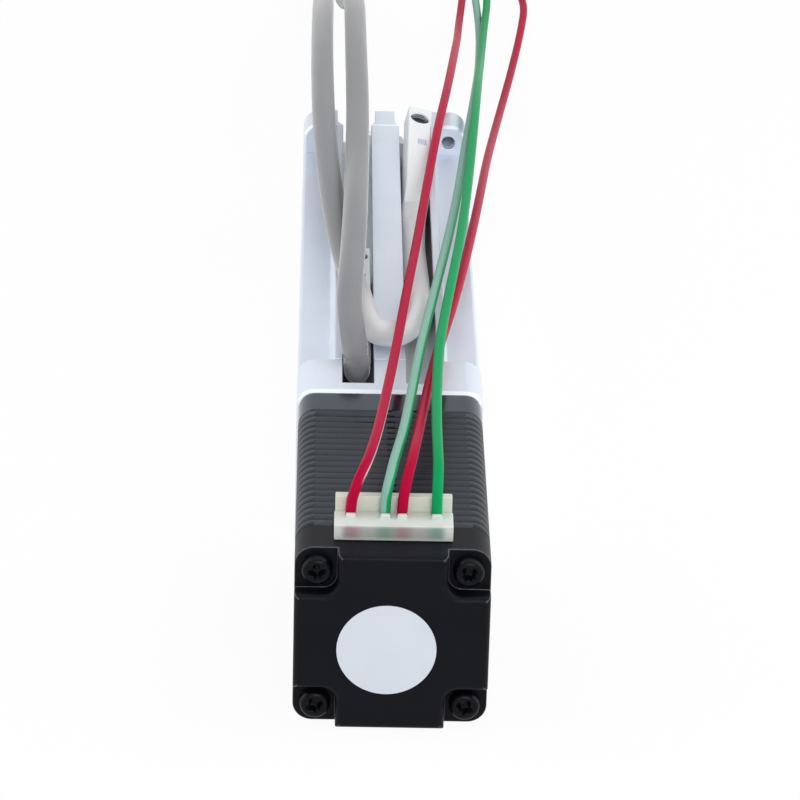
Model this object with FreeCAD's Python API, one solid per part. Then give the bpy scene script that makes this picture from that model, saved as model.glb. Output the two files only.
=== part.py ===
import FreeCAD, Part
import math
import os

# Ball screw electric cylinder: a 20 mm stepper motor drives a ball screw, and the nut pushes a rod
# out of a slotted aluminium body that carries two position sensors.
# Millimetres. The origin is the centre of the flange's front face, on the screw axis.
# +Y is the way the rod goes out, +Z is the side of the sensor slots.

# Motion
stroke = 40.0
end_gap = 0.3

# Lengths along the screw axis
flange_thickness = 5.2
flange_spigot = 4.0
adapter_length = 8.4
adapter_spigot = 2.0
bumper_thickness = 1.5
piston_length = 20.8
front_bell_length = 4.8
stator_length = 27.4
rear_bell_length = 6.75

# Body: bore, keyway, sensor slots and outline
bore_radius = 5.5
keyway_width = 2.2
keyway_depth = 1.2
slot_offset = 3.5
slot_opening = 3.5
slot_undercut = 0.4
slot_lip = 1.3
slot_depth = 4.4
slot_foot = 1.0
slot_wall = 0.3
motor_step = 0.2
corner_radius = 2.0
edge_chamfer = 0.3
profile_radius = 0.4

# Slot mouths in the flange and slot ends in the adapter
mouth_neck = 0.52
mouth_side = 0.7
mouth_flare = 1.2
slot_end_wall = 2.1
slot_end_depth = 3.8

# Fasteners
ear_edge = 2.2
ear_hole_radius = 0.85
body_screw_edge = 2.3
body_screw_z = 3.8
motor_screw_edge = 2.3
thread_radius = 1.0
clearance_radius = 1.1
thread_reach = 6.0
cap_head_radius = 1.9
cap_head_height = 2.0
cap_head_sunk = 0.2
small_head_radius = 1.3
small_head_height = 1.6
sunk_head_radius = 1.9
pan_head_radius = 1.6
pan_head_height = 1.3
pan_head_side = 0.7
pan_crown_radius = 0.8
pan_shoulder_radius = 1.15
pan_shoulder = 0.12
cross_width = 0.45
cross_length = 1.8
cross_depth = 0.7

# Fits
press_clearance = 0.04
running_clearance = 0.05
spigot_clearance = 0.05
passing_clearance = 0.4
bumper_side_clearance = 0.2
overrun = 1.0

# Rod, its guide and its threaded end
rod_radius = 4.0
rod_shoulder = 0.72
rod_tail_length = 6.9
rod_front = 4.0
rod_flat_depth = 0.5
rod_flats_length = 2.6
rod_tip_wall = 6.0
stud_radius = 2.5
stud_thread_depth = 0.26
stud_depth = 10.0
stud_length = 20.0
rod_nut_wall = 1.5
rod_nut_thickness = 3.2
bush_wall = 0.7
bush_length = 6.6
wiper_width = 1.7
wiper_thickness = 1.9
wiper_recess = 0.1
wiper_lip = 0.35
wiper_land = 0.9
wiper_rim_depth = 0.5
wiper_land_depth = 0.7

# Ball screw, nut and piston
screw_radius = 2.0
screw_room = 0.5
screw_tip_margin = 2.0
screw_tip_chamfer = 0.5
journal_shoulder = 0.5
journal_tail = 9.8
nut_wall = 2.2
nut_length = 12.0
lock_ring_thickness = 0.85
piston_clearance = 0.3
guide_length = 3.5
guide_inset = 1.0
guide_depth = 0.3
guide_split = 1.0
magnet_length = 5.0
magnet_station = 5.9
magnet_depth = 0.45
key_length = 4.0
key_station = 11.3
key_depth = 0.6
key_side_clearance = 0.1

# Motor
pilot_radius = 6.5
pilot_height = 1.5
pilot_recess = 1.6
shaft_radius = 2.5
shaft_clearance = 0.5
shaft_end = 1.0
rotor_radius = 5.0
air_gap = 0.1
stack_length = 9.0
magnet_disc_length = 2.0
magnet_disc_step = 0.4
rotor_front_gap = 3.9
coupling_pin_radius = 0.5
coupling_pin_gap = 2.2
stack_notch_width = 0.85
stack_notch_length = 0.4
stack_notch_depth = 0.25
stack_notch_pitch = 1.4
pole_count = 8
pole_width = 2.0
pole_shoe = 0.8
pole_root = 0.3
shoe_gap = 0.9
yoke_radius = 8.3
coil_half_width = 2.2
coil_room = 0.5
coil_overhang = 0.8
coil_recess_depth = 1.2
coil_recess_room = 0.2
pad_x = 5.6
pad_z = 5.4
pad_depth = 1.95
pad_radius = 1.5
face_radius = 0.7
label_radius = 5.1
label_thickness = 0.1
label_x = -0.5
label_z = -0.65

# Bearings
motor_bearing_radius = 5.5
motor_bearing_width = 3.0
motor_ball_radius = 0.5
support_bearing_radius = 5.0
support_bearing_width = 4.0
support_ball_radius = 0.4
ball_count = 7
race_clearance = 0.05
spacer_clearance = 0.2
washer_thickness = 0.3
washer_wall = 1.0

# Motor connector on top of the rear bell
pin_count = 6
pin_pitch = 1.75
pin_size = 0.46
pin_station = 1.25
pin_top = 1.4
connector_end = 1.675
connector_station = 3.4
connector_depth = 3.95
header_base = 0.6
header_wall = 1.0
header_wall_height = 3.6
header_inset = 0.65
header_side = 0.1
header_foot = 1.0
plug_height = 1.95
plug_skirt = 0.6
plug_slope_depth = 0.9
plug_slope_height = 0.2
plug_clearance = 0.05
wired_positions = (0, 2, 3, 5)
wire_station = 2.25
nub_size = (1.0, 0.5, 0.45)
contact_size = (1.05, 1.7, 0.8)
nub_root = 0.3

# Slot sensors
sensor_length = 22.0
sensor_height = 4.0
sensor_side_clearance = 0.3
sensor_foot = 1.6
sensor_foot_slope = 0.45
sensor_nose_radius = 3.0
sensor_edge = 0.12
sensor_tail_length = 3.0
sensor_tail_drop = 0.9
sensor_screw_inset = 2.5
sensor_screw_radius = 1.15
sensor_screw_length = 3.0
sensor_screw_sunk = 0.7
sensor_screw_slot = (0.4, 0.5)
window_inset = 8.2
window_size = (1.0, 1.3, 0.3)
window_offset = 0.35
boot_length = 3.8
boot_radius = 1.45
boot_tip_radius = 1.5
front_sensor_shift = -0.7
front_sensor_station = 23.7
front_sensor_lift = 0.9
front_sensor_tilt = 7.8
front_sensor_roll = 14.0
front_sensor_yaw = 1.5
rear_sensor_station = 9.9
rear_sensor_lift = 0.1

# Cords: diameters, routes from the exit to the coil, and the coils on the floor
sensor_lead_diameter = 2.9
motor_lead_diameter = 1.1
arc_share = 0.45
rear_sensor_route = (
    (-3.5, -69.5, 7.9), (-3.5, -71.2, 7.9), (-3.6, -74.9, 7.95), (-3.72, -76.7, 10.8),
    (-4.25, -75.2, 13.75), (-4.6, -70.8, 14.6), (-4.5, -66.0, 15.05), (-4.2, -55.0, 15.1),
    (-4.03, -41.5, 14.6), (-3.85, -24.0, 12.8), (-3.65, -6.0, 11.9), (-3.65, 12.0, 11.1),
    (-3.65, 29.0, 9.6), (-3.65, 45.0, 7.4), (-3.8, 60.0, 3.7), (-4.3, 75.0, -2.2),
    (-4.8, 88.0, -6.9), (-5.1, 99.5, -8.35), (-5.1, 109.95, -8.15),
)
front_sensor_route = (
    (3.178, -32.945, 8.106), (3.073, -36.95, 7.557), (3.25, -42.0, 7.5), (3.42, -49.5, 8.1),
    (3.4, -55.0, 9.2), (3.2, -60.5, 10.75), (3.0, -65.7, 11.75), (3.05, -70.5, 11.9),
    (1.35, -72.45, 11.9), (-1.1, -72.55, 11.9), (-2.8, -70.7, 11.9), (-3.4, -65.4, 11.87),
    (-4.3, -57.0, 11.85), (-5.55, -46.5, 11.85), (-6.65, -32.0, 11.9), (-7.5, -15.5, 12.05),
    (-7.9, 2.0, 11.85), (-8.05, 20.0, 10.6), (-8.05, 38.0, 8.2), (-8.0, 55.0, 4.4),
    (-7.95, 71.0, -1.2), (-8.0, 84.0, -6.4), (-8.05, 96.0, -8.4), (-8.05, 106.85, -8.15),
)
red_white_route = (
    (-4.375, -117.3, 11.95), (-4.375, -117.3, 13.3), (-3.95, -117.05, 14.7), (-3.5, -116.1, 15.6),
    (-2.85, -114.2, 16.15), (-2.25, -110.8, 16.2), (-1.55, -105.0, 15.85), (-0.7, -96.0, 15.2),
    (0.55, -82.0, 14.45), (1.85, -66.0, 13.95), (3.35, -48.0, 12.7), (4.8, -30.0, 12.3),
    (6.4, -12.0, 12.6), (8.1, 6.0, 11.4), (9.3, 25.0, 7.9), (10.3, 45.0, 2.6),
    (11.1, 65.0, -4), (11.85, 83.0, -8.5), (12.75, 97.0, -9.62), (13.2, 107.0, -9.5),
    (13.25, 114.4, -9.25),
)
green_white_route = (
    (-0.875, -117.3, 11.95), (-0.875, -117.3, 13.3), (-0.7, -117.05, 14.7), (-0.4, -116.1, 15.6),
    (-0.1, -114.2, 16.15), (0.4, -110.8, 16.2), (1.1, -105.0, 15.6), (1.9, -96.0, 14.95),
    (3.15, -82.0, 14.5), (4.95, -66.0, 13.95), (6.75, -48.0, 12), (8.55, -30.0, 11.2),
    (10, -12.0, 10.9), (11.45, 6.0, 9.1), (12.4, 25.0, 3.9), (13.35, 45.0, -2.4),
    (14.3, 65.0, -7.6), (14.95, 83.0, -9.62), (14.7, 97.0, -9.62), (14.4, 107.0, -9.5),
    (14.35, 115.1, -9.25),
)
red_route = (
    (0.875, -117.3, 11.95), (0.875, -117.3, 13.3), (1.1, -117.05, 14.7), (1.35, -116.1, 15.6),
    (1.7, -114.2, 16.15), (2.1, -110.8, 16.2), (2.6, -105.0, 15.3), (3.4, -96.0, 14.4),
    (4.8, -82.0, 13.3), (7.1, -66.0, 12.3), (9.15, -48.0, 10.9), (10.8, -30.0, 8.6),
    (12.15, -12.0, 5.2), (13.35, 6.0, 0.9), (14.8, 25.0, -3.6), (16.6, 45.0, -7.4),
    (18.85, 65.0, -9.3), (20.95, 83.0, -9.62), (22.2, 97.0, -9.62), (19.3, 108.5, -9.55),
    (16.55, 117.7, -9.25),
)
green_route = (
    (4.375, -117.3, 11.95), (4.375, -117.3, 13.3), (4.4, -117.05, 14.7), (4.45, -116.1, 15.6),
    (4.5, -114.2, 16.15), (4.5, -110.8, 16.2), (4.5, -105.0, 16), (4.65, -96.0, 15.5),
    (5.2, -82.0, 15), (6.7, -66.0, 14.4), (8.45, -48.0, 13.5), (9.75, -30.0, 12.6),
    (10.85, -12.0, 11.9), (11.85, 6.0, 10.4), (12.75, 25.0, 5.9), (13.65, 45.0, -0.8),
    (14.6, 65.0, -5.9), (15.6, 83.0, -8.4), (16.55, 97.0, -9.5), (16.1, 107.0, -9.5),
    (15.45, 116.2, -9.25),
)
sensor_coil_centre = (-20.0, 119.5)
sensor_coil_turns = 3.7
sensor_tie = (3.0, 0.6)
motor_coil_centre = (8.5, 122.0)
motor_coil_radius = 6.4
motor_coil_turns = 3.2
motor_tie = (1.8, 0.4)
tie_clearance = 0.2

# Sections: the bore, the wall and the slots set the body's width, and the motor is a step narrower
top = bore_radius + slot_wall + slot_depth
body_width = 2 * top
motor_width = body_width - 2 * motor_step
motor_top = motor_width / 2
floor_level = -top
slot_floor = top - slot_depth
slot_cavity = slot_opening + 2 * slot_undercut
ear_offset = top - ear_edge
body_screw_x = top - body_screw_edge
motor_screw_offset = motor_top - motor_screw_edge
notch_inner = motor_screw_offset - small_head_radius - running_clearance
rod_tail_radius = rod_radius - rod_shoulder
rod_bore_radius = screw_radius + screw_room
stud_pitch_radius = stud_radius - stud_thread_depth
bush_radius = rod_radius + bush_wall
wiper_radius = rod_radius + wiper_width
bumper_radius = bore_radius - bumper_side_clearance
journal_radius = screw_radius - journal_shoulder
nut_radius = screw_radius + nut_wall
piston_radius = bore_radius - piston_clearance
key_width = keyway_width - 2 * key_side_clearance
stator_bore = rotor_radius + air_gap
coil_inner_radius = stator_bore + pole_shoe + coil_room
coil_outer_radius = yoke_radius - coil_room
coil_recess_inner = coil_inner_radius - coil_recess_room
coil_recess_outer = yoke_radius + coil_room
connector_width = pin_pitch * (pin_count - 1) + 2 * connector_end
sensor_width = slot_opening - 2 * sensor_side_clearance

# Bearings: outer radius, inner radius, width, ring wall, ball radius, with the balls between the walls
motor_race_wall = (motor_bearing_radius - shaft_radius) / 2 - motor_ball_radius - race_clearance
support_race_wall = (support_bearing_radius - journal_radius) / 2 - support_ball_radius - race_clearance
motor_bearing = (motor_bearing_radius, shaft_radius, motor_bearing_width, motor_race_wall,
                 motor_ball_radius)
support_bearing = (support_bearing_radius, journal_radius, support_bearing_width, support_race_wall,
                   support_ball_radius)

# Stations along the axis, from the flange's front face back to the motor's rear face
body_length = (adapter_spigot + 2 * bumper_thickness + 2 * end_gap + piston_length + stroke
               + flange_spigot)
flange_back = -flange_thickness
body_back = flange_back - body_length
adapter_back = body_back - adapter_length
front_bell_back = adapter_back - front_bell_length
stator_back = front_bell_back - stator_length
rear_face = stator_back - rear_bell_length
piston_rear = body_back + adapter_spigot + bumper_thickness + end_gap
piston_front = piston_rear + piston_length
support_rear = adapter_back + pilot_recess + washer_thickness
support_front = support_rear + support_bearing_width
shaft_front = adapter_back + shaft_end
bush_front = flange_back - flange_spigot + bush_length

V = FreeCAD.Vector
AXIS = V(0, 1, 0)
UP = V(0, 0, 1)


# Shared shapes

def bar(radius, start, end, x=0.0, z=0.0):
    return Part.makeCylinder(radius, end - start, V(x, start, z), AXIS)


def tube(outer, inner, start, end):
    return bar(outer, start, end).cut(bar(inner, start, end))


def block(x, y, z):
    corner = V(x[0], y[0], z[0])
    return Part.makeBox(x[1] - x[0], y[1] - y[0], z[1] - z[0], corner)


def turned(profile):
    """A solid turned about the screw axis from (radius, station) points."""
    points = [V(radius, station, 0) for radius, station in profile]
    return Part.Face(Part.makePolygon(points + points[:1])).revolve(V(), AXIS, 360)


def corner_arc(before, corner, after, reach):
    """The tangent arc at a corner that starts and ends at this reach from it, and its radius."""
    back = (before - corner).normalize()
    ahead = (after - corner).normalize()
    half = back.getAngle(ahead) / 2
    radius = reach * math.tan(half)
    inward = (back + ahead).normalize()
    middle = corner + inward * (radius / math.sin(half) - radius)
    return corner + back * reach, middle, corner + ahead * reach, radius


def rounded_outline(points, radius):
    """A closed wire of straight sides with every corner rounded to this radius."""
    edges = []
    arcs = []
    for i, corner in enumerate(points):
        before = points[i - 1]
        after = points[(i + 1) % len(points)]
        half = (before - corner).getAngle(after - corner) / 2
        arcs.append(corner_arc(before, corner, after, radius / math.tan(half)))
    for i, (start, middle, end, _) in enumerate(arcs):
        previous_end = arcs[i - 1][2]
        if previous_end.distanceToPoint(start) > 1e-6:
            edges.append(Part.LineSegment(previous_end, start).toShape())
        edges.append(Part.Arc(start, middle, end).toShape())
    return Part.Wire(edges)


def prism(points, start, end, radius=0.0):
    """A section in X and Z, extruded along the axis."""
    corners = [V(x, start, z) for x, z in points]
    if radius:
        outline = rounded_outline(corners, radius)
    else:
        outline = Part.makePolygon(corners + corners[:1])
    return Part.Face(outline).extrude(V(0, end - start, 0))


def square_prism(width, start, end):
    half = width / 2
    return prism([(-half, -half), (half, -half), (half, half), (-half, half)], start, end, corner_radius)


def chamfer_ends(solid, size):
    """Breaks the sharp edges of a prism's two end faces."""
    rims = [edge for edge in solid.Edges if edge.BoundBox.YLength < 1e-6]
    return solid.makeChamfer(size, rims)


def four_corners(x, z):
    return [(x, z), (-x, z), (-x, -z), (x, -z)]


def joined(shapes):
    return shapes[0].multiFuse(shapes[1:]).removeSplitter()


def around_axis(shape, count, first=0.0):
    copies = []
    for i in range(count):
        copy = shape.copy()
        copy.rotate(V(), AXIS, first + i * 360.0 / count)
        copies.append(copy)
    return copies


def write(name, shape):
    shape.exportStep("parts/" + name + ".step")


# Slotted aluminium body

def slot_section(centre):
    opening = slot_opening / 2
    cavity = slot_cavity / 2
    under_lip = top - slot_lip
    right = [
        (opening, top + overrun),
        (opening, under_lip),
        (cavity, under_lip - (cavity - opening)),
        (cavity, slot_floor + slot_foot),
        (cavity - slot_foot, slot_floor),
    ]
    left = [(-x, z) for x, z in reversed(right)]
    return [(centre + x, z) for x, z in right + left]


def body_extrusion():
    quarter = [(notch_inner, top), (notch_inner, notch_inner), (top, notch_inner)]
    points = quarter + [(x, -z) for x, z in reversed(quarter)]
    points += [(-x, -z) for x, z in quarter] + [(-x, z) for x, z in reversed(quarter)]
    solid = prism(points, body_back, flange_back, profile_radius)
    half_key = keyway_width / 2
    cuts = [
        bar(bore_radius, body_back, flange_back),
        block((-half_key, half_key), (body_back, flange_back), (-bore_radius - keyway_depth, 0.0)),
    ]
    cuts += [prism(slot_section(side * slot_offset), body_back, flange_back) for side in (-1, 1)]
    cuts += [bar(thread_radius, body_back, flange_back, x, z)
             for x, z in four_corners(body_screw_x, body_screw_z)]
    return solid.cut(cuts)


# Front flange, its screws, the rod's bush and wiper

def slot_mouth(side):
    """The flared mouth through which a sensor slides into its slot, in plan."""
    inner = slot_offset - slot_opening / 2
    outer = slot_offset + slot_opening / 2
    straight = flange_back + mouth_flare
    plan = [(inner - mouth_neck, overrun), (inner - mouth_neck, straight), (inner, flange_back),
            (outer, flange_back), (outer + mouth_side, straight), (outer + mouth_side, overrun)]
    points = [V(side * x, y, slot_floor) for x, y in plan]
    return Part.Face(Part.makePolygon(points + points[:1])).extrude(V(0, 0, slot_depth + overrun))


def front_flange():
    plate = chamfer_ends(square_prism(body_width, flange_back, 0.0), edge_chamfer)
    rear = flange_back - flange_spigot
    spigot = bar(bore_radius - spigot_clearance, rear, flange_back + overrun)
    cuts = [
        bar(bush_radius + press_clearance, rear, bush_front),
        bar(rod_radius + passing_clearance, bush_front, 0.0),
        bar(wiper_radius + running_clearance, -wiper_thickness - wiper_recess, 0.0),
        slot_mouth(-1),
        slot_mouth(1),
    ]
    for x, z in four_corners(ear_offset, ear_offset):
        cuts.append(bar(ear_hole_radius, flange_back, 0.0, x, z))
    sink = sunk_head_radius - clearance_radius
    for x, z in four_corners(body_screw_x, body_screw_z):
        cuts.append(bar(clearance_radius, flange_back, 0.0, x, z))
        cuts.append(Part.makeCone(clearance_radius, sunk_head_radius, sink, V(x, -sink, z), AXIS))
    return plate.fuse(spigot).removeSplitter().cut(cuts)


def flange_screws():
    shank = thread_radius - press_clearance
    sink = sunk_head_radius - clearance_radius
    screws = []
    for x, z in four_corners(body_screw_x, body_screw_z):
        head = Part.makeCone(shank, sunk_head_radius - running_clearance, sink, V(x, -sink, z), AXIS)
        screws.append(head.fuse(bar(shank, flange_back - thread_reach, -sink, x, z)))
    return Part.makeCompound(screws)


def rod_bush():
    return tube(bush_radius, rod_radius + running_clearance, flange_back - flange_spigot, bush_front)


def wiper_seal():
    """A scraper ring whose lip thins towards the rod."""
    lip = rod_radius + running_clearance
    rear = -wiper_thickness - wiper_recess
    return turned([
        (wiper_radius, rear), (wiper_radius, -wiper_recess - wiper_rim_depth),
        (lip + wiper_land, -wiper_recess - wiper_land_depth), (lip + wiper_lip, -wiper_recess),
        (lip, -wiper_recess), (lip, rear),
    ])


def front_bumper():
    rear = flange_back - flange_spigot
    return tube(bumper_radius, rod_radius + passing_clearance, rear - bumper_thickness, rear)


def rear_bumper():
    face = body_back + adapter_spigot
    return tube(bumper_radius, screw_radius + passing_clearance, face, face + bumper_thickness)


# Adapter between body and motor

def slot_end(side):
    centre = side * slot_offset
    half = slot_opening / 2
    stop = adapter_back + slot_end_wall
    return block((centre - half, centre + half), (stop, body_back), (top - slot_end_depth, top + overrun))


def motor_adapter():
    solid = chamfer_ends(square_prism(body_width, adapter_back, body_back), edge_chamfer)
    spigot = bar(bore_radius - spigot_clearance, body_back - overrun, body_back + adapter_spigot)
    seat_rear = adapter_back + pilot_recess
    cuts = [
        bar(pilot_radius + spigot_clearance, adapter_back, seat_rear),
        bar(support_bearing[0] + press_clearance, seat_rear, support_front),
        bar(screw_radius + passing_clearance, support_front, body_back + adapter_spigot),
        bar(support_bearing[0] - support_bearing[3], support_front, support_front + end_gap),
        slot_end(-1),
        slot_end(1),
    ]
    for x, z in four_corners(body_screw_x, body_screw_z):
        cuts.append(bar(clearance_radius, adapter_back, body_back, x, z))
        cuts.append(bar(cap_head_radius + running_clearance, adapter_back,
                        adapter_back + cap_head_sunk + cap_head_height, x, z))
    for x, z in four_corners(motor_screw_offset, motor_screw_offset):
        cuts.append(bar(clearance_radius, adapter_back, body_back, x, z))
    return solid.fuse(spigot).removeSplitter().cut(cuts)


def cap_screw(head_radius, head_height, seat, tip, x, z):
    """A cylinder-head screw. The head stands on the seat, on the side away from the tip."""
    shank = thread_radius - press_clearance
    if tip > seat:
        head = bar(head_radius, seat - head_height, seat, x, z)
        return head.fuse(bar(shank, seat, tip, x, z))
    head = bar(head_radius, seat, seat + head_height, x, z)
    return head.fuse(bar(shank, tip, seat, x, z))


def adapter_screws():
    seat = adapter_back + cap_head_sunk + cap_head_height
    return Part.makeCompound([
        cap_screw(cap_head_radius, cap_head_height, seat, body_back + thread_reach, x, z)
        for x, z in four_corners(body_screw_x, body_screw_z)
    ])


def motor_mount_screws():
    tip = adapter_back - front_bell_length / 2 + running_clearance
    return Part.makeCompound([
        cap_screw(small_head_radius, small_head_height, body_back, tip, x, z)
        for x, z in four_corners(motor_screw_offset, motor_screw_offset)
    ])


# Motor housing

def coil_recess(start, end):
    return tube(coil_recess_outer, coil_recess_inner, start, end)


def motor_front_bell():
    solid = chamfer_ends(square_prism(motor_width, front_bell_back, adapter_back), edge_chamfer)
    pilot = bar(pilot_radius, adapter_back - overrun, adapter_back + pilot_height)
    seat = front_bell_back + running_clearance + motor_bearing[2]
    cuts = [
        bar(motor_bearing[0] + press_clearance, front_bell_back, seat),
        bar(shaft_radius + shaft_clearance, seat, adapter_back + pilot_height),
        bar(motor_bearing[0] - motor_bearing[3], seat, seat + end_gap),
        coil_recess(front_bell_back, front_bell_back + coil_recess_depth),
    ]
    cuts += [bar(thread_radius, front_bell_back, adapter_back, x, z)
             for x, z in four_corners(motor_screw_offset, motor_screw_offset)]
    return solid.fuse(pilot).removeSplitter().cut(cuts)


def stator_core():
    start, end = stator_back, front_bell_back
    yoke = square_prism(motor_width, start, end).cut(
        [bar(yoke_radius, start, end)]
        + [bar(clearance_radius, start, end, x, z)
           for x, z in four_corners(motor_screw_offset, motor_screw_offset)])
    half_gap = shoe_gap / 2
    gap = block((-half_gap, half_gap), (start, end), (0.0, yoke_radius))
    shoes = tube(stator_bore + pole_shoe, stator_bore, start, end).cut(
        around_axis(gap, pole_count, 180.0 / pole_count))
    half_pole = pole_width / 2
    pole = block((-half_pole, half_pole), (start, end),
                 (stator_bore + pole_shoe / 2, yoke_radius + pole_root))
    stack = joined([yoke, shoes] + around_axis(pole, pole_count))
    half_notch = stack_notch_width / 2
    count = int(stator_length / stack_notch_pitch)
    first = (start + end - (count - 1) * stack_notch_pitch - stack_notch_length) / 2
    notches = []
    for i in range(count):
        near = first + i * stack_notch_pitch
        notches.append(block((-half_notch, half_notch), (near, near + stack_notch_length),
                             (motor_top - stack_notch_depth, motor_top + overrun)))
    return stack.cut(notches)


def stator_coils():
    start, end = stator_back - coil_overhang, front_bell_back + coil_overhang
    outer = block((-coil_half_width, coil_half_width), (start, end), (coil_inner_radius, coil_outer_radius))
    half_hole = pole_width / 2 + running_clearance
    hole = block((-half_hole, half_hole),
                 (stator_back - running_clearance, front_bell_back + running_clearance),
                 (coil_inner_radius, coil_outer_radius))
    return Part.makeCompound(around_axis(outer.cut(hole), pole_count))


def header_slot():
    """The place in the bell's top wall for the header's foot."""
    back = rear_face + connector_station + header_inset
    half = connector_width / 2 - header_inset
    return (-half, half), (back, stator_back), (motor_top - header_foot, motor_top)


def rear_bell():
    solid = square_prism(motor_width, rear_face, stator_back)
    beyond = motor_width
    pads = []
    for x_side, z_side in four_corners(1, 1):
        section = [(pad_x, pad_z), (beyond, pad_z), (beyond, beyond), (pad_x, beyond)]
        points = [(x_side * x, z_side * z) for x, z in section]
        pads.append(prism(points, rear_face - overrun, rear_face + pad_depth, pad_radius))
    solid = solid.cut(pads)
    rim = [edge for edge in solid.Edges
           if edge.BoundBox.YLength < 1e-6 and abs(edge.BoundBox.YMin - rear_face) < 1e-6]
    solid = solid.makeFillet(face_radius, rim)
    seat = stator_back - running_clearance - motor_bearing[2] - washer_thickness
    slot_x, slot_y, slot_z = header_slot()
    cuts = [
        bar(motor_bearing[0] + press_clearance, seat, stator_back),
        coil_recess(stator_back - coil_recess_depth, stator_back),
        block(slot_x, slot_y, (slot_z[0], slot_z[1] + overrun)),
    ]
    cuts += [bar(clearance_radius, rear_face, stator_back, x, z)
             for x, z in four_corners(motor_screw_offset, motor_screw_offset)]
    return solid.cut(cuts)


def tie_screws():
    """Pan-head screws with a cross recess, from the pads through the stack into the front bell."""
    seat = rear_face + pad_depth
    shank = thread_radius - press_clearance
    tip = front_bell_back + front_bell_length / 2 - running_clearance
    crown = seat - pan_head_height
    head = turned([(0.0, seat), (pan_head_radius, seat), (pan_head_radius, seat - pan_head_side),
                   (pan_shoulder_radius, crown + pan_shoulder), (pan_crown_radius, crown), (0.0, crown)])
    arm = (-cross_length / 2, cross_length / 2)
    thin = (-cross_width / 2, cross_width / 2)
    depth = (crown, crown + cross_depth)
    screw = head.cut([block(arm, depth, thin), block(thin, depth, arm)]).fuse(bar(shank, seat, tip))
    screws = []
    for x, z in four_corners(motor_screw_offset, motor_screw_offset):
        copy = screw.copy()
        copy.translate(V(x, 0, z))
        screws.append(copy)
    return Part.makeCompound(screws)


def rear_label():
    return bar(label_radius, rear_face - label_thickness, rear_face, label_x, label_z)


# Motor connector

def pin_places():
    first = -pin_pitch * (pin_count - 1) / 2
    return [first + i * pin_pitch for i in range(pin_count)]


def connector_header():
    """A base with a tall wall behind the plug, and a foot in the bell."""
    back = rear_face + connector_station
    front = back + connector_depth
    half = connector_width / 2 - header_side
    base_top = motor_top + header_base
    wall = (front - header_wall, front)
    shapes = [
        block((-half, half), (back + plug_skirt + plug_clearance, front), (motor_top, base_top)),
        block((-half, half), wall, (motor_top, motor_top + header_wall_height)),
    ]
    slot_x, slot_y, slot_z = header_slot()
    shapes.append(block((slot_x[0] + plug_clearance, slot_x[1] - plug_clearance),
                        (slot_y[0] + plug_clearance, slot_y[1] - plug_clearance), slot_z))
    hole = pin_size / 2 + press_clearance
    middle = back + pin_station
    holes = [block((x - hole, x + hole), (middle - hole, middle + hole), (slot_z[0], base_top))
             for x in pin_places()]
    return joined(shapes).cut(holes)


def header_pins():
    half = pin_size / 2
    middle = rear_face + connector_station + pin_station
    span = (motor_top - header_foot, motor_top + pin_top)
    return Part.makeCompound([
        block((x - half, x + half), (middle - half, middle + half), span) for x in pin_places()])


def contact_space(x, clearance):
    """The room of one contact in the plug, or the contact itself with no clearance."""
    middle = rear_face + connector_station + pin_station
    half_x = contact_size[0] / 2 + clearance
    half_y = contact_size[1] / 2 + clearance
    low = motor_top + header_base + plug_clearance
    return block((x - half_x, x + half_x), (middle - half_y, middle + half_y),
                 (low, low + contact_size[2] + clearance))


def connector_plug():
    """A wire housing on the pins: its skirt hides the header's base, and its top slopes down."""
    back = rear_face + connector_station
    front = back + connector_depth - header_wall - plug_clearance
    half = connector_width / 2
    low = motor_top + header_base + plug_clearance
    high = motor_top + plug_height
    side = [
        (back, motor_top + plug_clearance), (back, high - plug_slope_height),
        (back + plug_slope_depth, high), (front, high), (front, low),
        (back + plug_skirt, low), (back + plug_skirt, motor_top + plug_clearance),
    ]
    outline = Part.makePolygon([V(-half, y, z) for y, z in side + side[:1]])
    shapes = [Part.Face(outline).extrude(V(2 * half, 0, 0))]
    wire_back = back + wire_station - motor_lead_diameter / 2
    for i in wired_positions:
        x = pin_places()[i]
        shapes.append(block((x - nub_size[0] / 2, x + nub_size[0] / 2),
                            (wire_back - nub_size[1], wire_back), (high - nub_root, high + nub_size[2])))
    return joined(shapes).cut([contact_space(x, plug_clearance) for x in pin_places()])


def plug_contacts():
    hole = pin_size / 2 + press_clearance
    middle = rear_face + connector_station + pin_station
    contacts = []
    for i in wired_positions:
        x = pin_places()[i]
        pin = block((x - hole, x + hole), (middle - hole, middle + hole),
                    (motor_top, motor_top + pin_top + plug_clearance))
        contacts.append(contact_space(x, 0.0).cut(pin))
    return Part.makeCompound(contacts)


# Bearings

def bearing_outer(bearing, start):
    outer, _, width, wall, _ = bearing
    return tube(outer, outer - wall, start, start + width)


def bearing_inner(bearing, start):
    _, inner, width, wall, _ = bearing
    return tube(inner + wall, inner + press_clearance, start, start + width)


def bearing_ball_set(bearing, start):
    outer, inner, width, _, radius = bearing
    middle = start + width / 2
    ball = Part.makeSphere(radius, V(0, middle, (outer + inner) / 2), AXIS)
    return around_axis(ball, ball_count)


front_bearing_start = front_bell_back + running_clearance
rear_bearing_start = stator_back - running_clearance - motor_bearing[2]


def bearing_balls():
    return Part.makeCompound(
        bearing_ball_set(motor_bearing, front_bearing_start)
        + bearing_ball_set(motor_bearing, rear_bearing_start)
        + bearing_ball_set(support_bearing, support_rear))


def preload_washer(bearing, end):
    return tube(bearing[0] - running_clearance, bearing[0] - washer_wall, end - washer_thickness, end)


# Rotor and ball screw

coupling_pin_station = front_bearing_start - coupling_pin_gap
rotor_front = front_bell_back - rotor_front_gap


def rotor_shaft():
    rear = rear_bearing_start
    shaft = bar(shaft_radius, rear, shaft_front)
    socket = bar(journal_radius + press_clearance, shaft_front - journal_tail - end_gap, shaft_front)
    return shaft.cut([socket, pin_across(coupling_pin_radius + press_clearance)])


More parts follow.
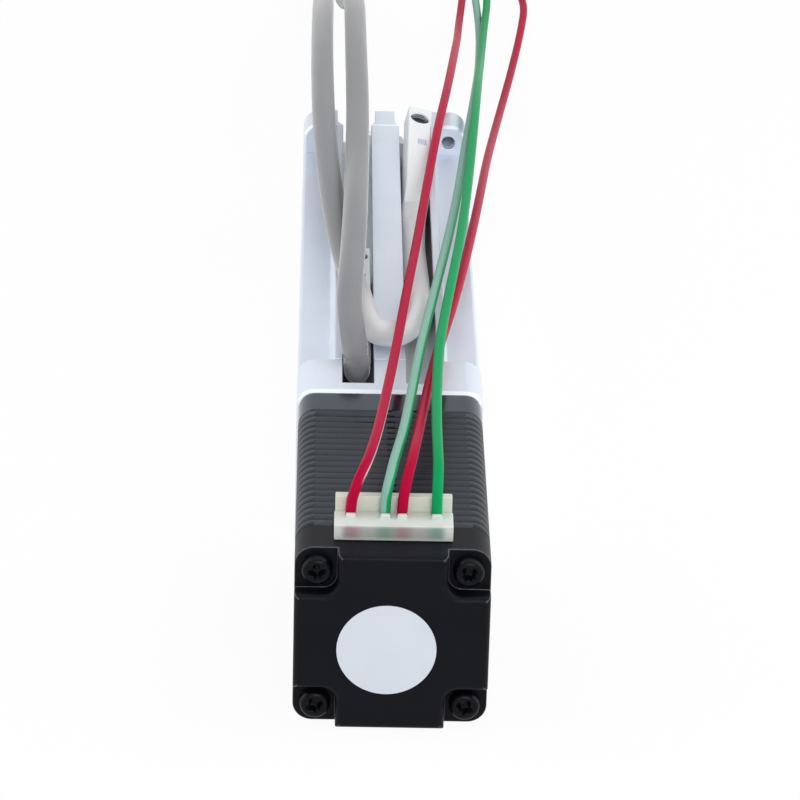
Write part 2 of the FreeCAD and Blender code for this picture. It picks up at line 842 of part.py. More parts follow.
def pin_across(radius):
    half = shaft_radius - press_clearance
    return Part.makeCylinder(radius, 2 * half, V(-half, coupling_pin_station, 0), V(1, 0, 0))


def rotor_stacks():
    inner = shaft_radius + press_clearance
    middle = rotor_front - stack_length
    return Part.makeCompound([
        tube(rotor_radius, inner, middle, rotor_front),
        tube(rotor_radius, inner, middle - magnet_disc_length - stack_length, middle - magnet_disc_length),
    ])


def rotor_magnet():
    front = rotor_front - stack_length
    return tube(rotor_radius - magnet_disc_step, shaft_radius + press_clearance,
                front - magnet_disc_length, front)


def clamp_spacer():
    outer = shaft_radius + shaft_clearance - spacer_clearance
    return tube(outer, journal_radius + press_clearance, shaft_front, support_rear)


def ball_screw():
    nut_front_out = piston_rear + lock_ring_thickness + nut_length + stroke
    tip = nut_front_out + screw_tip_margin
    rear = shaft_front - journal_tail
    screw = turned([
        (0.0, rear), (journal_radius, rear), (journal_radius, support_front), (screw_radius, support_front),
        (screw_radius, tip - screw_tip_chamfer), (screw_radius - screw_tip_chamfer, tip), (0.0, tip),
    ])
    return screw.cut(pin_across(coupling_pin_radius + press_clearance))


# Nut, piston and rod

nut_rear = piston_rear + lock_ring_thickness
nut_seat = nut_rear + nut_length + running_clearance


def ball_nut():
    return tube(nut_radius, screw_radius + running_clearance, nut_rear, nut_rear + nut_length)


def nut_lock_ring():
    return tube(nut_radius, screw_radius + passing_clearance, piston_rear, nut_rear - press_clearance)


def guide_places():
    return piston_rear + guide_inset, piston_front - guide_inset - guide_length


def key_block(clearance):
    half = key_width / 2 + clearance
    start = piston_rear + key_station - clearance
    low = -bore_radius - keyway_depth + 2 * end_gap - clearance
    return block((-half, half), (start, start + key_length + 2 * clearance),
                 (low, -piston_radius + key_depth))


def nut_carrier():
    solid = bar(piston_radius, piston_rear, piston_front)
    cuts = [
        bar(nut_radius + press_clearance, piston_rear, nut_seat),
        bar(rod_tail_radius + press_clearance, nut_seat, piston_front),
        tube(piston_radius, piston_radius - magnet_depth, piston_rear + magnet_station,
             piston_rear + magnet_station + magnet_length),
        key_block(press_clearance),
    ]
    cuts += [tube(piston_radius, piston_radius - guide_depth, start, start + guide_length)
             for start in guide_places()]
    return solid.cut(cuts)


def magnet_ring():
    start = piston_rear + magnet_station + press_clearance
    return tube(piston_radius - running_clearance, piston_radius - magnet_depth + press_clearance,
                start, start + magnet_length - 2 * press_clearance)


def guide_rings():
    """Two wear rings that carry the piston in the bore, each split so that it can be sprung on."""
    outer = bore_radius - running_clearance
    inner = piston_radius - guide_depth + running_clearance
    rings = []
    for start in guide_places():
        near, far = start + press_clearance, start + guide_length - press_clearance
        split = block((-guide_split / 2, guide_split / 2), (near, far), (0.0, outer))
        rings.append(tube(outer, inner, near, far).cut(split))
    return Part.makeCompound(rings)


def rod_tube():
    """A hollow rod: its tail screws into the piston, its tip holds the stud and has spanner flats."""
    tail = piston_front - rod_tail_length
    solid = turned([
        (0.0, tail), (rod_tail_radius, tail), (rod_tail_radius, piston_front), (rod_radius, piston_front),
        (rod_radius, rod_front - edge_chamfer), (rod_radius - edge_chamfer, rod_front), (0.0, rod_front),
    ])
    stud_seat = rod_front - stud_depth
    cuts = [
        bar(rod_bore_radius, tail, stud_seat - rod_tip_wall),
        bar(stud_pitch_radius, stud_seat, rod_front),
    ]
    flats = (rod_front - edge_chamfer - rod_flats_length, rod_front - edge_chamfer)
    for side in (-1, 1):
        x = sorted((side * (rod_radius - rod_flat_depth), side * rod_radius))
        cuts.append(block(x, flats, (-rod_radius, rod_radius)))
    return solid.cut(cuts)


def rod_stud():
    """A stud: its thread stands at the pitch radius in the rod and the nut, and at the crest beyond."""
    rear = rod_front - stud_depth + end_gap
    tip = rear + stud_length
    free = rod_front + running_clearance + rod_nut_thickness
    engaged = stud_pitch_radius - press_clearance
    return turned([
        (0.0, rear), (engaged, rear), (engaged, free), (stud_radius, free),
        (stud_radius, tip - edge_chamfer), (stud_radius - edge_chamfer, tip), (0.0, tip),
    ])


def rod_nut():
    corner = (stud_radius + rod_nut_wall) / math.cos(math.pi / 6)
    section = [(corner * math.cos(i * math.pi / 3), corner * math.sin(i * math.pi / 3)) for i in range(6)]
    start = rod_front + running_clearance
    hexagon = prism(section, start, start + rod_nut_thickness)
    return hexagon.cut(bar(stud_pitch_radius, start, start + rod_nut_thickness))


# Slot sensors, made lying along the axis with the near end's foot at the origin

def sensor_body():
    half = sensor_width / 2
    section = [
        (half - sensor_foot * sensor_foot_slope, 0.0), (half, sensor_foot),
        (half, sensor_height - sensor_edge), (half - sensor_edge, sensor_height),
    ]
    section += [(-x, z) for x, z in reversed(section)]
    bar_shape = prism(section, 0.0, sensor_length)
    nose = V(0, sensor_length - sensor_nose_radius, sensor_nose_radius)
    slope = sensor_nose_radius * math.sqrt(0.5)
    side = Part.Wire([
        Part.LineSegment(V(-half, 0, sensor_height - sensor_tail_drop), V(-half, 0, 0)).toShape(),
        Part.LineSegment(V(-half, 0, 0), V(-half, nose.y, 0)).toShape(),
        Part.Arc(V(-half, nose.y, 0), V(-half, nose.y + slope, nose.z - slope),
                 V(-half, sensor_length, nose.z)).toShape(),
        Part.LineSegment(V(-half, sensor_length, nose.z), V(-half, sensor_length, sensor_height)).toShape(),
        Part.LineSegment(V(-half, sensor_length, sensor_height),
                         V(-half, sensor_tail_length, sensor_height)).toShape(),
        Part.LineSegment(V(-half, sensor_tail_length, sensor_height),
                         V(-half, 0, sensor_height - sensor_tail_drop)).toShape(),
    ])
    body = bar_shape.common(Part.Face(side).extrude(V(sensor_width, 0, 0)))
    hole = Part.makeCylinder(sensor_screw_radius + press_clearance, sensor_height,
                             V(0, sensor_length - sensor_screw_inset, 0), UP)
    return body.cut([hole, sensor_window(press_clearance)])


def sensor_window(clearance=0.0):
    length, width, depth = window_size[1], window_size[0], window_size[2]
    middle = sensor_length - window_inset
    return block((window_offset - width / 2 - clearance, window_offset + width / 2 + clearance),
                 (middle - length / 2 - clearance, middle + length / 2 + clearance),
                 (sensor_height - depth - clearance, sensor_height + clearance))


def sensor_screw():
    high = sensor_height - sensor_screw_sunk
    middle = sensor_length - sensor_screw_inset
    screw = Part.makeCylinder(sensor_screw_radius, sensor_screw_length,
                              V(0, middle, high - sensor_screw_length), UP)
    width, depth = sensor_screw_slot
    slot = block((-sensor_screw_radius, sensor_screw_radius), (middle - width / 2, middle + width / 2),
                 (high - depth, high))
    return screw.cut(slot)


def sensor_boot():
    """The tapered collar where the cable leaves the sensor."""
    return Part.makeCone(boot_radius, boot_tip_radius, boot_length, V(0, 0, sensor_height / 2),
                         V(0, -1, 0))


def write_sensors():
    places = [place.toMatrix() for place in (front_sensor_placement(), rear_sensor_placement())]
    body = sensor_body()
    write("front_sensor", body.transformed(places[0]))
    write("rear_sensor", body.transformed(places[1]))
    pairs = (("sensor_screws", sensor_screw()), ("sensor_windows", sensor_window()),
             ("sensor_boots", sensor_boot()))
    for name, shape in pairs:
        write(name, Part.makeCompound([shape.transformed(place) for place in places]))


def front_sensor_placement():
    """Its nose stands out of the slot, and it leans over a little."""
    turn = FreeCAD.Rotation(UP, -front_sensor_yaw)
    turn = turn.multiply(FreeCAD.Rotation(V(1, 0, 0), front_sensor_tilt))
    turn = turn.multiply(FreeCAD.Rotation(AXIS, front_sensor_roll))
    foot = V(slot_offset + front_sensor_shift, flange_back - front_sensor_station,
             slot_floor + front_sensor_lift)
    return FreeCAD.Placement(foot, turn)


def rear_sensor_placement():
    foot = V(-slot_offset, body_back + rear_sensor_station, slot_floor + rear_sensor_lift)
    return FreeCAD.Placement(foot, FreeCAD.Rotation())


# Cords: a round tube on straight runs joined by arcs as large as the runs allow

def cord(name, route, diameter):
    points = [V(*point) for point in route]
    edges = []
    radii = []
    start = points[0]
    for before, corner, after in zip(points, points[1:], points[2:]):
        shorter = min(before.distanceToPoint(corner), corner.distanceToPoint(after))
        arc_start, middle, arc_end, radius = corner_arc(before, corner, after, arc_share * shorter)
        edges.append(Part.LineSegment(start, arc_start).toShape())
        edges.append(Part.Arc(arc_start, middle, arc_end).toShape())
        radii.append(radius)
        start = arc_end
    edges.append(Part.LineSegment(start, points[-1]).toShape())
    path = Part.Wire(edges)
    section = Part.Face(Part.Wire(Part.makeCircle(diameter / 2, points[0], points[1] - points[0])))
    solid = path.makePipe(section)
    share = solid.Volume / (section.Area * path.Length)
    print("%s: length %.1f, smallest arc radius %.2f, volume over section times length %.4f"
          % (name, path.Length, min(radii), share))
    print("  arc radii", " ".join("%.1f" % radius for radius in radii))
    write(name, solid)


def coil_ring(centre, inner, outer, low, high):
    place = V(centre[0], centre[1], low)
    ring = Part.makeCylinder(outer, high - low, place, UP)
    return ring.cut(Part.makeCylinder(inner, high - low, place, UP))


def coil_tie(centre, inner, outer, low, high, tie):
    """A flat band round the coil's turns, on the side away from the object."""
    width, thick = tie
    across = (centre[0] - width / 2, centre[0] + width / 2)
    hollow_y = (centre[1] + inner - tie_clearance, centre[1] + outer + tie_clearance)
    hollow_z = (low, high + tie_clearance)
    band = block(across, (hollow_y[0] - thick, hollow_y[1] + thick), (low - thick, hollow_z[1] + thick))
    return band.cut(block(across, hollow_y, hollow_z))


def write_coils():
    diameter = sensor_lead_diameter
    middle = rear_sensor_route[-1][0] - sensor_coil_centre[0] - diameter / 2
    sizes = (middle - diameter, middle + diameter, floor_level + sensor_tie[1],
             floor_level + sensor_tie[1] + (sensor_coil_turns + 1) * diameter)
    write("sensor_lead_coil", coil_ring(sensor_coil_centre, *sizes))
    write("sensor_coil_tie", coil_tie(sensor_coil_centre, *sizes, sensor_tie))
    diameter = motor_lead_diameter
    sizes = (motor_coil_radius - 2 * diameter, motor_coil_radius + 2 * diameter, floor_level + motor_tie[1],
             floor_level + motor_tie[1] + (motor_coil_turns + 1) * diameter)
    write("motor_lead_coil", coil_ring(motor_coil_centre, *sizes))
    write("motor_coil_tie", coil_tie(motor_coil_centre, *sizes, motor_tie))


os.makedirs("parts", exist_ok=True)

# Body, flange and adapter
write("body_extrusion", body_extrusion())
write("front_flange", front_flange())
write("flange_screws", flange_screws())
write("rod_bush", rod_bush())
write("wiper_seal", wiper_seal())
write("front_bumper", front_bumper())
write("rear_bumper", rear_bumper())
write("motor_adapter", motor_adapter())
write("adapter_screws", adapter_screws())
write("motor_mount_screws", motor_mount_screws())

# Motor
write("motor_front_bell", motor_front_bell())
write("stator_core", stator_core())
write("stator_coils", stator_coils())
write("rear_bell", rear_bell())
write("tie_screws", tie_screws())
write("rear_label", rear_label())
write("front_bearing_outer", bearing_outer(motor_bearing, front_bearing_start))
write("rear_bearing_outer", bearing_outer(motor_bearing, rear_bearing_start))
write("support_bearing_outer", bearing_outer(support_bearing, support_rear))
write("front_bearing_inner", bearing_inner(motor_bearing, front_bearing_start))
write("rear_bearing_inner", bearing_inner(motor_bearing, rear_bearing_start))
write("support_bearing_inner", bearing_inner(support_bearing, support_rear))
write("bearing_balls", bearing_balls())
write("rear_wave_washer", preload_washer(motor_bearing, rear_bearing_start))
write("support_washer", preload_washer(support_bearing, support_rear))
write("rotor_shaft", rotor_shaft())
write("rotor_stacks", rotor_stacks())
write("rotor_magnet", rotor_magnet())
write("coupling_pin", pin_across(coupling_pin_radius))
write("clamp_spacer", clamp_spacer())

# Motor connector
write("connector_header", connector_header())
write("header_pins", header_pins())
write("connector_plug", connector_plug())
write("plug_contacts", plug_contacts())

# Ball screw, nut, piston and rod
write("ball_screw", ball_screw())
write("ball_nut", ball_nut())
write("nut_lock_ring", nut_lock_ring())
write("nut_carrier", nut_carrier())
write("magnet_ring", magnet_ring())
write("guide_rings", guide_rings())
write("anti_rotation_key", key_block(0.0))
write("rod_tube", rod_tube())
write("rod_stud", rod_stud())
write("rod_nut", rod_nut())

# Sensors and cords
write_sensors()
cord("front_sensor_lead", front_sensor_route, sensor_lead_diameter)
cord("rear_sensor_lead", rear_sensor_route, sensor_lead_diameter)
cord("lead_red_white", red_white_route, motor_lead_diameter)
cord("lead_green_white", green_white_route, motor_lead_diameter)
cord("lead_red", red_route, motor_lead_diameter)
cord("lead_green", green_route, motor_lead_diameter)
write_coils()
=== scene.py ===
import math

import bmesh
import bpy
from mathutils import Matrix, Vector


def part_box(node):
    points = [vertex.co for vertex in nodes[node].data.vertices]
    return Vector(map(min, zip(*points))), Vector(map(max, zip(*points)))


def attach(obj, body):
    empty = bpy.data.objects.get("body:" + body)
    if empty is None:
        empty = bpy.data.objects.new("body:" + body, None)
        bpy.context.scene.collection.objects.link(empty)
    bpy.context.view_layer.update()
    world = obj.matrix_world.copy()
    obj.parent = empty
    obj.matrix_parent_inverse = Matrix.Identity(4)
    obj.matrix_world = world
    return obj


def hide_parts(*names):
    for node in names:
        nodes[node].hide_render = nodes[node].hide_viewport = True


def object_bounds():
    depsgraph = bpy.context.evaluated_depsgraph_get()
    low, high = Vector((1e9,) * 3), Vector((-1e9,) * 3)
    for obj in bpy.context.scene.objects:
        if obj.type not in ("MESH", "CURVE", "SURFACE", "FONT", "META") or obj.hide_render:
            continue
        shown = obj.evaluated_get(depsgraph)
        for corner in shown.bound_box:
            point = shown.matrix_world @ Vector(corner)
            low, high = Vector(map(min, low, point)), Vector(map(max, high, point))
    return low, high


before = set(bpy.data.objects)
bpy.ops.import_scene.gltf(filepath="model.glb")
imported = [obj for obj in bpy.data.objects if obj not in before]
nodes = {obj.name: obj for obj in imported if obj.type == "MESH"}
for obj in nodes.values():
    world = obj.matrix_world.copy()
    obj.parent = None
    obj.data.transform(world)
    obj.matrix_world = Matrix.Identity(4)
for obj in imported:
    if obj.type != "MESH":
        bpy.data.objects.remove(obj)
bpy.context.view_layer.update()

# Slotted body
# A satin anodised aluminium extrusion, sawn to length. Its corner notches leave room for the motor's
# screws, and the two slots along its top hold the sensors. Inside, the slots are painted near white as
# painted light, with a stretch of painted shade in each.
mm = 0.001
slot_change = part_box("body_extrusion")[0].y + 20.0 * mm
slot_blend = 6.0 * mm
slot_floor = 5.7 * mm
slot_shade = 8.6 * mm
slot_rim = 9.7 * mm
slot_inner = 1.7 * mm
slot_outer = 5.95 * mm
slot_front = -0.15 * mm


def tone(red, green, blue):
    """A colour as it looks on a screen, 0 to 255, as the linear colour that a shader takes."""
    def linear(value):
        share = value / 255
        return share / 12.92 if share <= 0.04045 else ((share + 0.055) / 1.055) ** 2.4
    return linear(red), linear(green), linear(blue), 1.0


class Sock:
    """A socket of a material's nodes. Operators on it add the Math nodes that work them out."""

    def __init__(self, tree, out):
        self.tree = tree
        self.out = out

    def node(self, kind, settings, inputs, output=0):
        made = self.tree.nodes.new(kind)
        for name, value in settings.items():
            setattr(made, name, value)
        for name, value in inputs.items():
            if isinstance(value, Sock):
                self.tree.links.new(value.out, made.inputs[name])
            else:
                made.inputs[name].default_value = value
        return Sock(self.tree, made.outputs[output])

    def math(self, operation, first, second=0.0):
        return self.node("ShaderNodeMath", {"operation": operation}, {0: first, 1: second})

    def __add__(self, other):
        return self.math("ADD", self, other)

    def __radd__(self, other):
        return self.math("ADD", other, self)

    def __sub__(self, other):
        return self.math("SUBTRACT", self, other)

    def __rsub__(self, other):
        return self.math("SUBTRACT", other, self)

    def __mul__(self, other):
        return self.math("MULTIPLY", self, other)

    def __rmul__(self, other):
        return self.math("MULTIPLY", other, self)

    def __truediv__(self, other):
        return self.math("DIVIDE", self, other)

    def __lt__(self, other):
        return self.math("LESS_THAN", self, other)

    def __gt__(self, other):
        return self.math("GREATER_THAN", self, other)

    def __abs__(self):
        return self.math("ABSOLUTE", self)

    def fract(self):
        return self.math("FRACT", self)

    def step(self, low, high):
        """0 below the low value, 1 above the high one, and smooth between them."""
        settings = {"interpolation_type": "SMOOTHSTEP"}
        return self.node("ShaderNodeMapRange", settings, {"Value": self, "From Min": low, "From Max": high})

    def axis(self, name):
        return self.node("ShaderNodeSeparateXYZ", {}, {"Vector": self}, name)

    def scaled(self, x, y, z):
        return self.node("ShaderNodeMapping", {}, {"Vector": self, "Scale": (x, y, z)})

    def noise(self, scale, detail=2.0):
        return self.node("ShaderNodeTexNoise", {}, {"Vector": self, "Scale": scale, "Detail": detail})

    def mix(self, low, high):
        """A colour between two others."""
        return self.node("ShaderNodeMix", {"data_type": "RGBA"}, {0: self, 6: low, 7: high}, 2)

    def bump(self, depth):
        return self.node("ShaderNodeBump", {}, {"Height": self, "Distance": depth})


def finish(name, paint, coordinates="Object", **constants):
    """A material: constants go on the shader's own sockets, and paint gives the sockets that vary."""
    material = bpy.data.materials.new(name)
    material.use_nodes = True
    tree = material.node_tree
    shader = tree.nodes["Principled BSDF"]
    for socket, value in constants.items():
        shader.inputs[socket.replace("_", " ")].default_value = value
    place = Sock(tree, tree.nodes.new("ShaderNodeTexCoord").outputs[coordinates])
    for socket, value in paint(place).items():
        tree.links.new(value.out, shader.inputs[socket])
    return material


def piece(name, shape, material, body, replaced):
    """Turns a finished bmesh into a smooth piece that rides on a body and stands for CAD nodes."""
    mesh = bpy.data.meshes.new(name)
    shape.to_mesh(mesh)
    shape.free()
    mesh.shade_smooth()
    mesh.materials.append(material)
    made = bpy.data.objects.new(name, mesh)
    bpy.context.scene.collection.objects.link(made)
    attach(made, body)
    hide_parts(*replaced)
    return made


def break_edges(made, width, segments=2, angle=35):
    """Rounds the sharp edges of a piece, and keeps its flat faces flat."""
    bevel = made.modifiers.new("broken_edges", "BEVEL")
    bevel.width = width
    bevel.segments = segments
    bevel.limit_method = "ANGLE"
    bevel.angle_limit = math.radians(angle)
    bevel.use_clamp_overlap = False
    made.modifiers.new("flat_faces", "WEIGHTED_NORMAL")
    return made


def merged_copy(node):
    """The CAD piece's own form as a bmesh, with its loose triangles joined and flat faces whole."""
    shape = bmesh.new()
    shape.from_mesh(nodes[node].data)
    for name in ("custom_normal", "sharp_edge", "sharp_face"):
        for layers in (shape.loops.layers, shape.edges.layers, shape.faces.layers):
            for kind in ("bool", "int", "float_vector"):
                found = getattr(layers, kind, None)
                layer = found.get(name) if found else None
                if layer:
                    found.remove(layer)
    bmesh.ops.remove_doubles(shape, verts=shape.verts, dist=0.001 * mm)
    bmesh.ops.dissolve_limit(shape, angle_limit=math.radians(0.5), verts=shape.verts, edges=shape.edges)
    for edge in shape.edges:
        edge.smooth = True
    return shape


def dressed(node, material, edge, segments=2, angle=35, body="body"):
    """A CAD piece with its edges broken, in its finish."""
    made = piece(node + "_finished", merged_copy(node), material, body, [node])
    return break_edges(made, edge, segments, angle)


def anodised(place):
    drawn = place.scaled(9000, 90, 9000).noise(1.0)
    grain = place.noise(16000)
    cloud = place.noise(140, 3.0)
    plain = (cloud * 0.7 + drawn * 0.3).mix(tone(210, 217, 228), tone(226, 233, 243))
    across, along, above = place.axis("X"), place.axis("Y"), place.axis("Z")
    # Painted light: the slots' insides are painted near white and made less metallic.
    in_slots = above.step(slot_rim, slot_shade) * (above > slot_floor) * (along < slot_front)
    in_slots = in_slots * (abs(across) > slot_inner) * (abs(across) < slot_outer)
    forward = along.step(slot_change - slot_blend, slot_change)
    # Painted shade darkens the left slot towards the motor and the right slot towards the front.
    dullness_and_painted_shade = (across > 0.0) * forward + (across < 0.0) * (1 - forward)
    painted_light_slots = in_slots.mix(plain, tone(250, 251, 253))
    return {
        "Base Color": (in_slots * dullness_and_painted_shade * 0.75).mix(painted_light_slots, tone(84, 86, 92)),
        "Metallic": 0.72 - in_slots * 0.62,
        "Roughness": 0.4 + drawn * 0.12 + grain * 0.12,
        "Normal": (drawn * 0.6 + grain * 0.4).bump(0.002 * mm),
    }


aluminium = finish("satin_anodised_aluminium", anodised)
dressed("body_extrusion", aluminium, edge=0.07 * mm)

# Motor adapter
# An aluminium block between body and motor, milled from bar, with the ends of both slots in its top.
# Four cap screws under the motor's face hold it to the body.
def shown(names, material):
    """Gives CAD pieces that keep their own form their finish."""
    for name in names:
        nodes[name].material_slots[0].material = material


def ground(place):
    lay = place.scaled(2500, 14000, 2500).noise(1.0)
    stain = place.noise(300, 3.0)
    return {
        "Base Color": stain.mix(tone(172, 173, 176), tone(198, 199, 202)),
        "Roughness": 0.2 + lay * 0.16,
        "Normal": lay.bump(0.001 * mm),
    }


steel = finish("ground_steel", ground, Metallic=1.0)
dressed("motor_adapter", aluminium, edge=0.05 * mm)
shown(["adapter_screws"], steel)

# Ball screw and its bearings
# A rolled steel screw, pinned into the hollow motor shaft, with a ball bearing in the adapter and two
# in the motor. Spring washers take up their play.
def polished(place):
    haze = place.noise(5000, 3.0)
    return {
        "Base Color": haze.mix(tone(196, 198, 202), tone(216, 218, 221)),
        "Roughness": 0.08 + haze * 0.1,
    }


bearing_steel = finish("polished_bearing_steel", polished, Metallic=1.0)
shown(["ball_screw", "coupling_pin", "support_washer", "rear_wave_washer"], steel)
shown(["clamp_spacer"], aluminium)
for place in ("front", "rear", "support"):
    shown([place + "_bearing_outer", place + "_bearing_inner"], bearing_steel)
shown(["bearing_balls"], bearing_steel)

# Piston
# The ball nut in its aluminium carrier, with a magnet ring for the sensors, two split guide rings and
# a key that keeps it from turning. Rubber bumpers stop it at both ends.
def filled_plastic(place):
    speck = place.noise(6000, 3.0)
    return {
        "Base Color": speck.mix(tone(40, 40, 42), tone(66, 66, 68)),
        "Roughness": 0.5 + speck * 0.2,
        "Normal": speck.bump(0.003 * mm),
    }


def sintered(place):
    pore = place.noise(8000, 4.0)
    return {
        "Base Color": pore.mix(tone(70, 70, 74), tone(104, 104, 108)),
        "Roughness": 0.42 + pore * 0.2,
        "Normal": pore.bump(0.004 * mm),
    }


def black_rubber(place):
    bloom = place.noise(900, 4.0)
    skin = place.noise(9000)
    return {
        "Base Color": bloom.mix(tone(26, 26, 28), tone(42, 42, 44)),
        "Roughness": 0.62 + skin * 0.2,
        "Normal": skin.bump(0.004 * mm),
    }


magnet = finish("sintered_magnet", sintered, Metallic=0.6)
rubber = finish("black_rubber", black_rubber, Specular_IOR_Level=0.3)
shown(["ball_nut", "nut_lock_ring", "anti_rotation_key"], steel)
shown(["nut_carrier"], aluminium)
shown(["magnet_ring"], magnet)
shown(["guide_rings"], finish("filled_guide_plastic", filled_plastic))
shown(["front_bumper", "rear_bumper"], rubber)

# Rod
# A ground and chromed steel tube with two spanner flats, a threaded stud in its end and a hexagon nut
# that locks whatever is screwed onto it.
thread_pitch = 0.8 * mm
thread_depth = 0.46 * mm
thread_steps = 36


def chromed(place):
    lay = place.scaled(1200, 16000, 1200).noise(1.0)
    cloud = place.noise(150, 2.0)
    return {
        "Base Color": cloud.mix(tone(198, 200, 203), tone(214, 216, 218)),
        "Roughness": 0.1 + lay * 0.12,
        "Normal": lay.bump(0.0006 * mm),
    }


def zinc_plated(place):
    spangle = place.noise(2600, 3.0)
    return {
        "Base Color": spangle.mix(tone(168, 170, 172), tone(196, 198, 200)),
        "Roughness": 0.26 + spangle * 0.18,
        "Normal": spangle.bump(0.002 * mm),
    }


def capped(shape):
    """Closes the open rims that a cut leaves."""
    bmesh.ops.holes_fill(shape, edges=[edge for edge in shape.edges if edge.is_boundary], sides=0)
    bmesh.ops.recalc_face_normals(shape, faces=shape.faces)
    return shape


def cut_off(shape, point, normal):
    """Cuts away what lies beyond a plane."""
    geometry = shape.verts[:] + shape.edges[:] + shape.faces[:]
    bmesh.ops.bisect_plane(shape, geom=geometry, dist=0.0001 * mm, plane_co=point, plane_no=normal,
                           clear_outer=True)


def screw_thread(low, high):
    """A rolled thread on the stud's axis, with a cone at its tip."""
    crest = high.x
    shape = bmesh.new()
    line = []
    for i in range(int((high.y - low.y) / thread_pitch) + 3):
        for share, depth in ((0.0, 0.0), (0.125, 0.0), (0.4375, thread_depth), (0.6875, thread_depth)):
            line.append(shape.verts.new((crest - depth, low.y + (i - 1.5 + share) * thread_pitch, 0)))
    edges = [shape.edges.new(pair) for pair in zip(line, line[1:])]
    bmesh.ops.spin(shape, geom=line + edges, cent=(0, 0, 0), axis=(0, 1, 0), angle=2 * math.pi,
                   dvec=(0, thread_pitch / thread_steps, 0), steps=thread_steps, use_merge=False)
    bmesh.ops.remove_doubles(shape, verts=shape.verts, dist=0.001 * mm)
    cut_off(shape, (0, low.y, 0), (0, -1, 0))
    cut_off(shape, (0, high.y, 0), (0, 1, 0))
    for vertex in shape.verts:
        radius = math.hypot(vertex.co.x, vertex.co.z)
        room = crest - thread_depth * 1.2 + high.y - vertex.co.y
        if radius > room:
            vertex.co.x *= room / radius
            vertex.co.z *= room / radius
    return capped(shape)


def chamfered_nut(low, high):
    """The hexagon with its corners turned off at both ends."""
    shape = merged_copy("rod_nut")
    flat = high.z * 0.97
    slope = math.radians(30)
    for corner in range(6):
        for turn in (-16, 0, 16):
            around = math.radians(corner * 60 + turn)
            out = Vector((math.cos(around), 0, math.sin(around)))
            for end, way in ((low.y, -1), (high.y, 1)):
                normal = out * math.sin(slope) + Vector((0, way * math.cos(slope), 0))
                cut_off(shape, out * flat + Vector((0, end, 0)), normal)
                capped(shape)
    return shape


zinc = finish("zinc_plated_steel", zinc_plated, Metallic=1.0)
chrome = finish("chromed_steel", chromed, Metallic=1.0)
dressed("rod_tube", chrome, edge=0.08 * mm, body="rod")
stud = piece("rod_stud_threaded", screw_thread(*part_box("rod_stud")), zinc, "rod", ["rod_stud"])
break_edges(stud, 0.02 * mm, segments=1, angle=40)
nut = piece("rod_nut_chamfered", chamfered_nut(*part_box("rod_nut")), zinc, "rod", ["rod_nut"])
break_edges(nut, 0.05 * mm, angle=20)

# Front flange
# A milled aluminium plate with four threaded ears, and slot mouths through which the sensors slide in.
# It holds the rod's bronze bush and rubber wiper, and four countersunk screws fix it.
def oiled_bronze(place):
    pore = place.noise(7000, 4.0)
    return {
        "Base Color": pore.mix(tone(150, 118, 76), tone(182, 148, 98)),
        "Roughness": 0.32 + pore * 0.2,
        "Normal": pore.bump(0.003 * mm),
    }


def driven_screw(rings, recess, depth, taper, sides=40):
    """A screw along -Z with its driving recess: rings are (radius, height) from the crown outwards."""
    shape = bmesh.new()
    crown = rings[0][1]
    corners = [shape.verts.new((x, y, crown)) for x, y in recess]
    mouth = [shape.edges.new(pair) for pair in zip(corners, corners[1:] + corners[:1])]
    circle = bmesh.ops.create_circle(shape, segments=sides, radius=rings[0][0],
                                     matrix=Matrix.Translation((0, 0, crown)))
    rim = list({edge for vertex in circle["verts"] for edge in vertex.link_edges})
    bmesh.ops.triangle_fill(shape, use_beauty=True, edges=mouth + rim)

    def drawn_on(edges, scale, drop):
        made = bmesh.ops.extrude_edge_only(shape, edges=edges)["geom"]
        verts = [item for item in made if isinstance(item, bmesh.types.BMVert)]
        bmesh.ops.scale(shape, vec=(scale, scale, 1), verts=verts)
        bmesh.ops.translate(shape, vec=(0, 0, drop), verts=verts)
        new_verts_and_painted_light = set(verts)
        drawn = [item for item in made if isinstance(item, bmesh.types.BMEdge)]
        return [edge for edge in drawn if new_verts_and_painted_light.issuperset(edge.verts)]

    for (radius, height), (outer, lower) in zip(rings, rings[1:]):
        rim = drawn_on(rim, outer / radius, lower - height)
    bmesh.ops.edgeloop_fill(shape, edges=rim)
    floor = drawn_on(mouth, taper, -depth)
    bmesh.ops.edgeloop_fill(shape, edges=floor)
    bmesh.ops.recalc_face_normals(shape, faces=shape.faces)
    return shape


def hexagon_outline(across):
    """A hexagon socket seen from above."""
    corner = across / math.sqrt(3)
    return [(corner * math.cos(i * math.pi / 3), corner * math.sin(i * math.pi / 3)) for i in range(6)]


def placed_copies(pattern, places):
    """One bmesh with a copy of the pattern at each matrix, and the pattern freed."""
    mesh = bpy.data.meshes.new("pattern")
    pattern.to_mesh(mesh)
    pattern.free()
    whole = bmesh.new()
    for matrix in places:
        start = len(whole.verts)
        whole.from_mesh(mesh)
        whole.verts.ensure_lookup_table()
        bmesh.ops.transform(whole, matrix=matrix, verts=whole.verts[start:])
    bpy.data.meshes.remove(mesh)
    return whole


def corner_places(low, high, margin, station, turns, rearward):
    """Matrices for four screws at the corners of a box, each turned by its own angle."""
    facing = Matrix.Rotation(math.radians(90 if rearward else -90), 4, "X")
    corners = [(low.x + margin, low.z + margin), (high.x - margin, low.z + margin),
               (low.x + margin, high.z - margin), (high.x - margin, high.z - margin)]
    places = []
    for (x, z), turn in zip(corners, turns):
        spun = Matrix.Rotation(math.radians(turn), 4, "Z")
        places.append(Matrix.Translation((x, station, z)) @ facing @ spun)
    return places


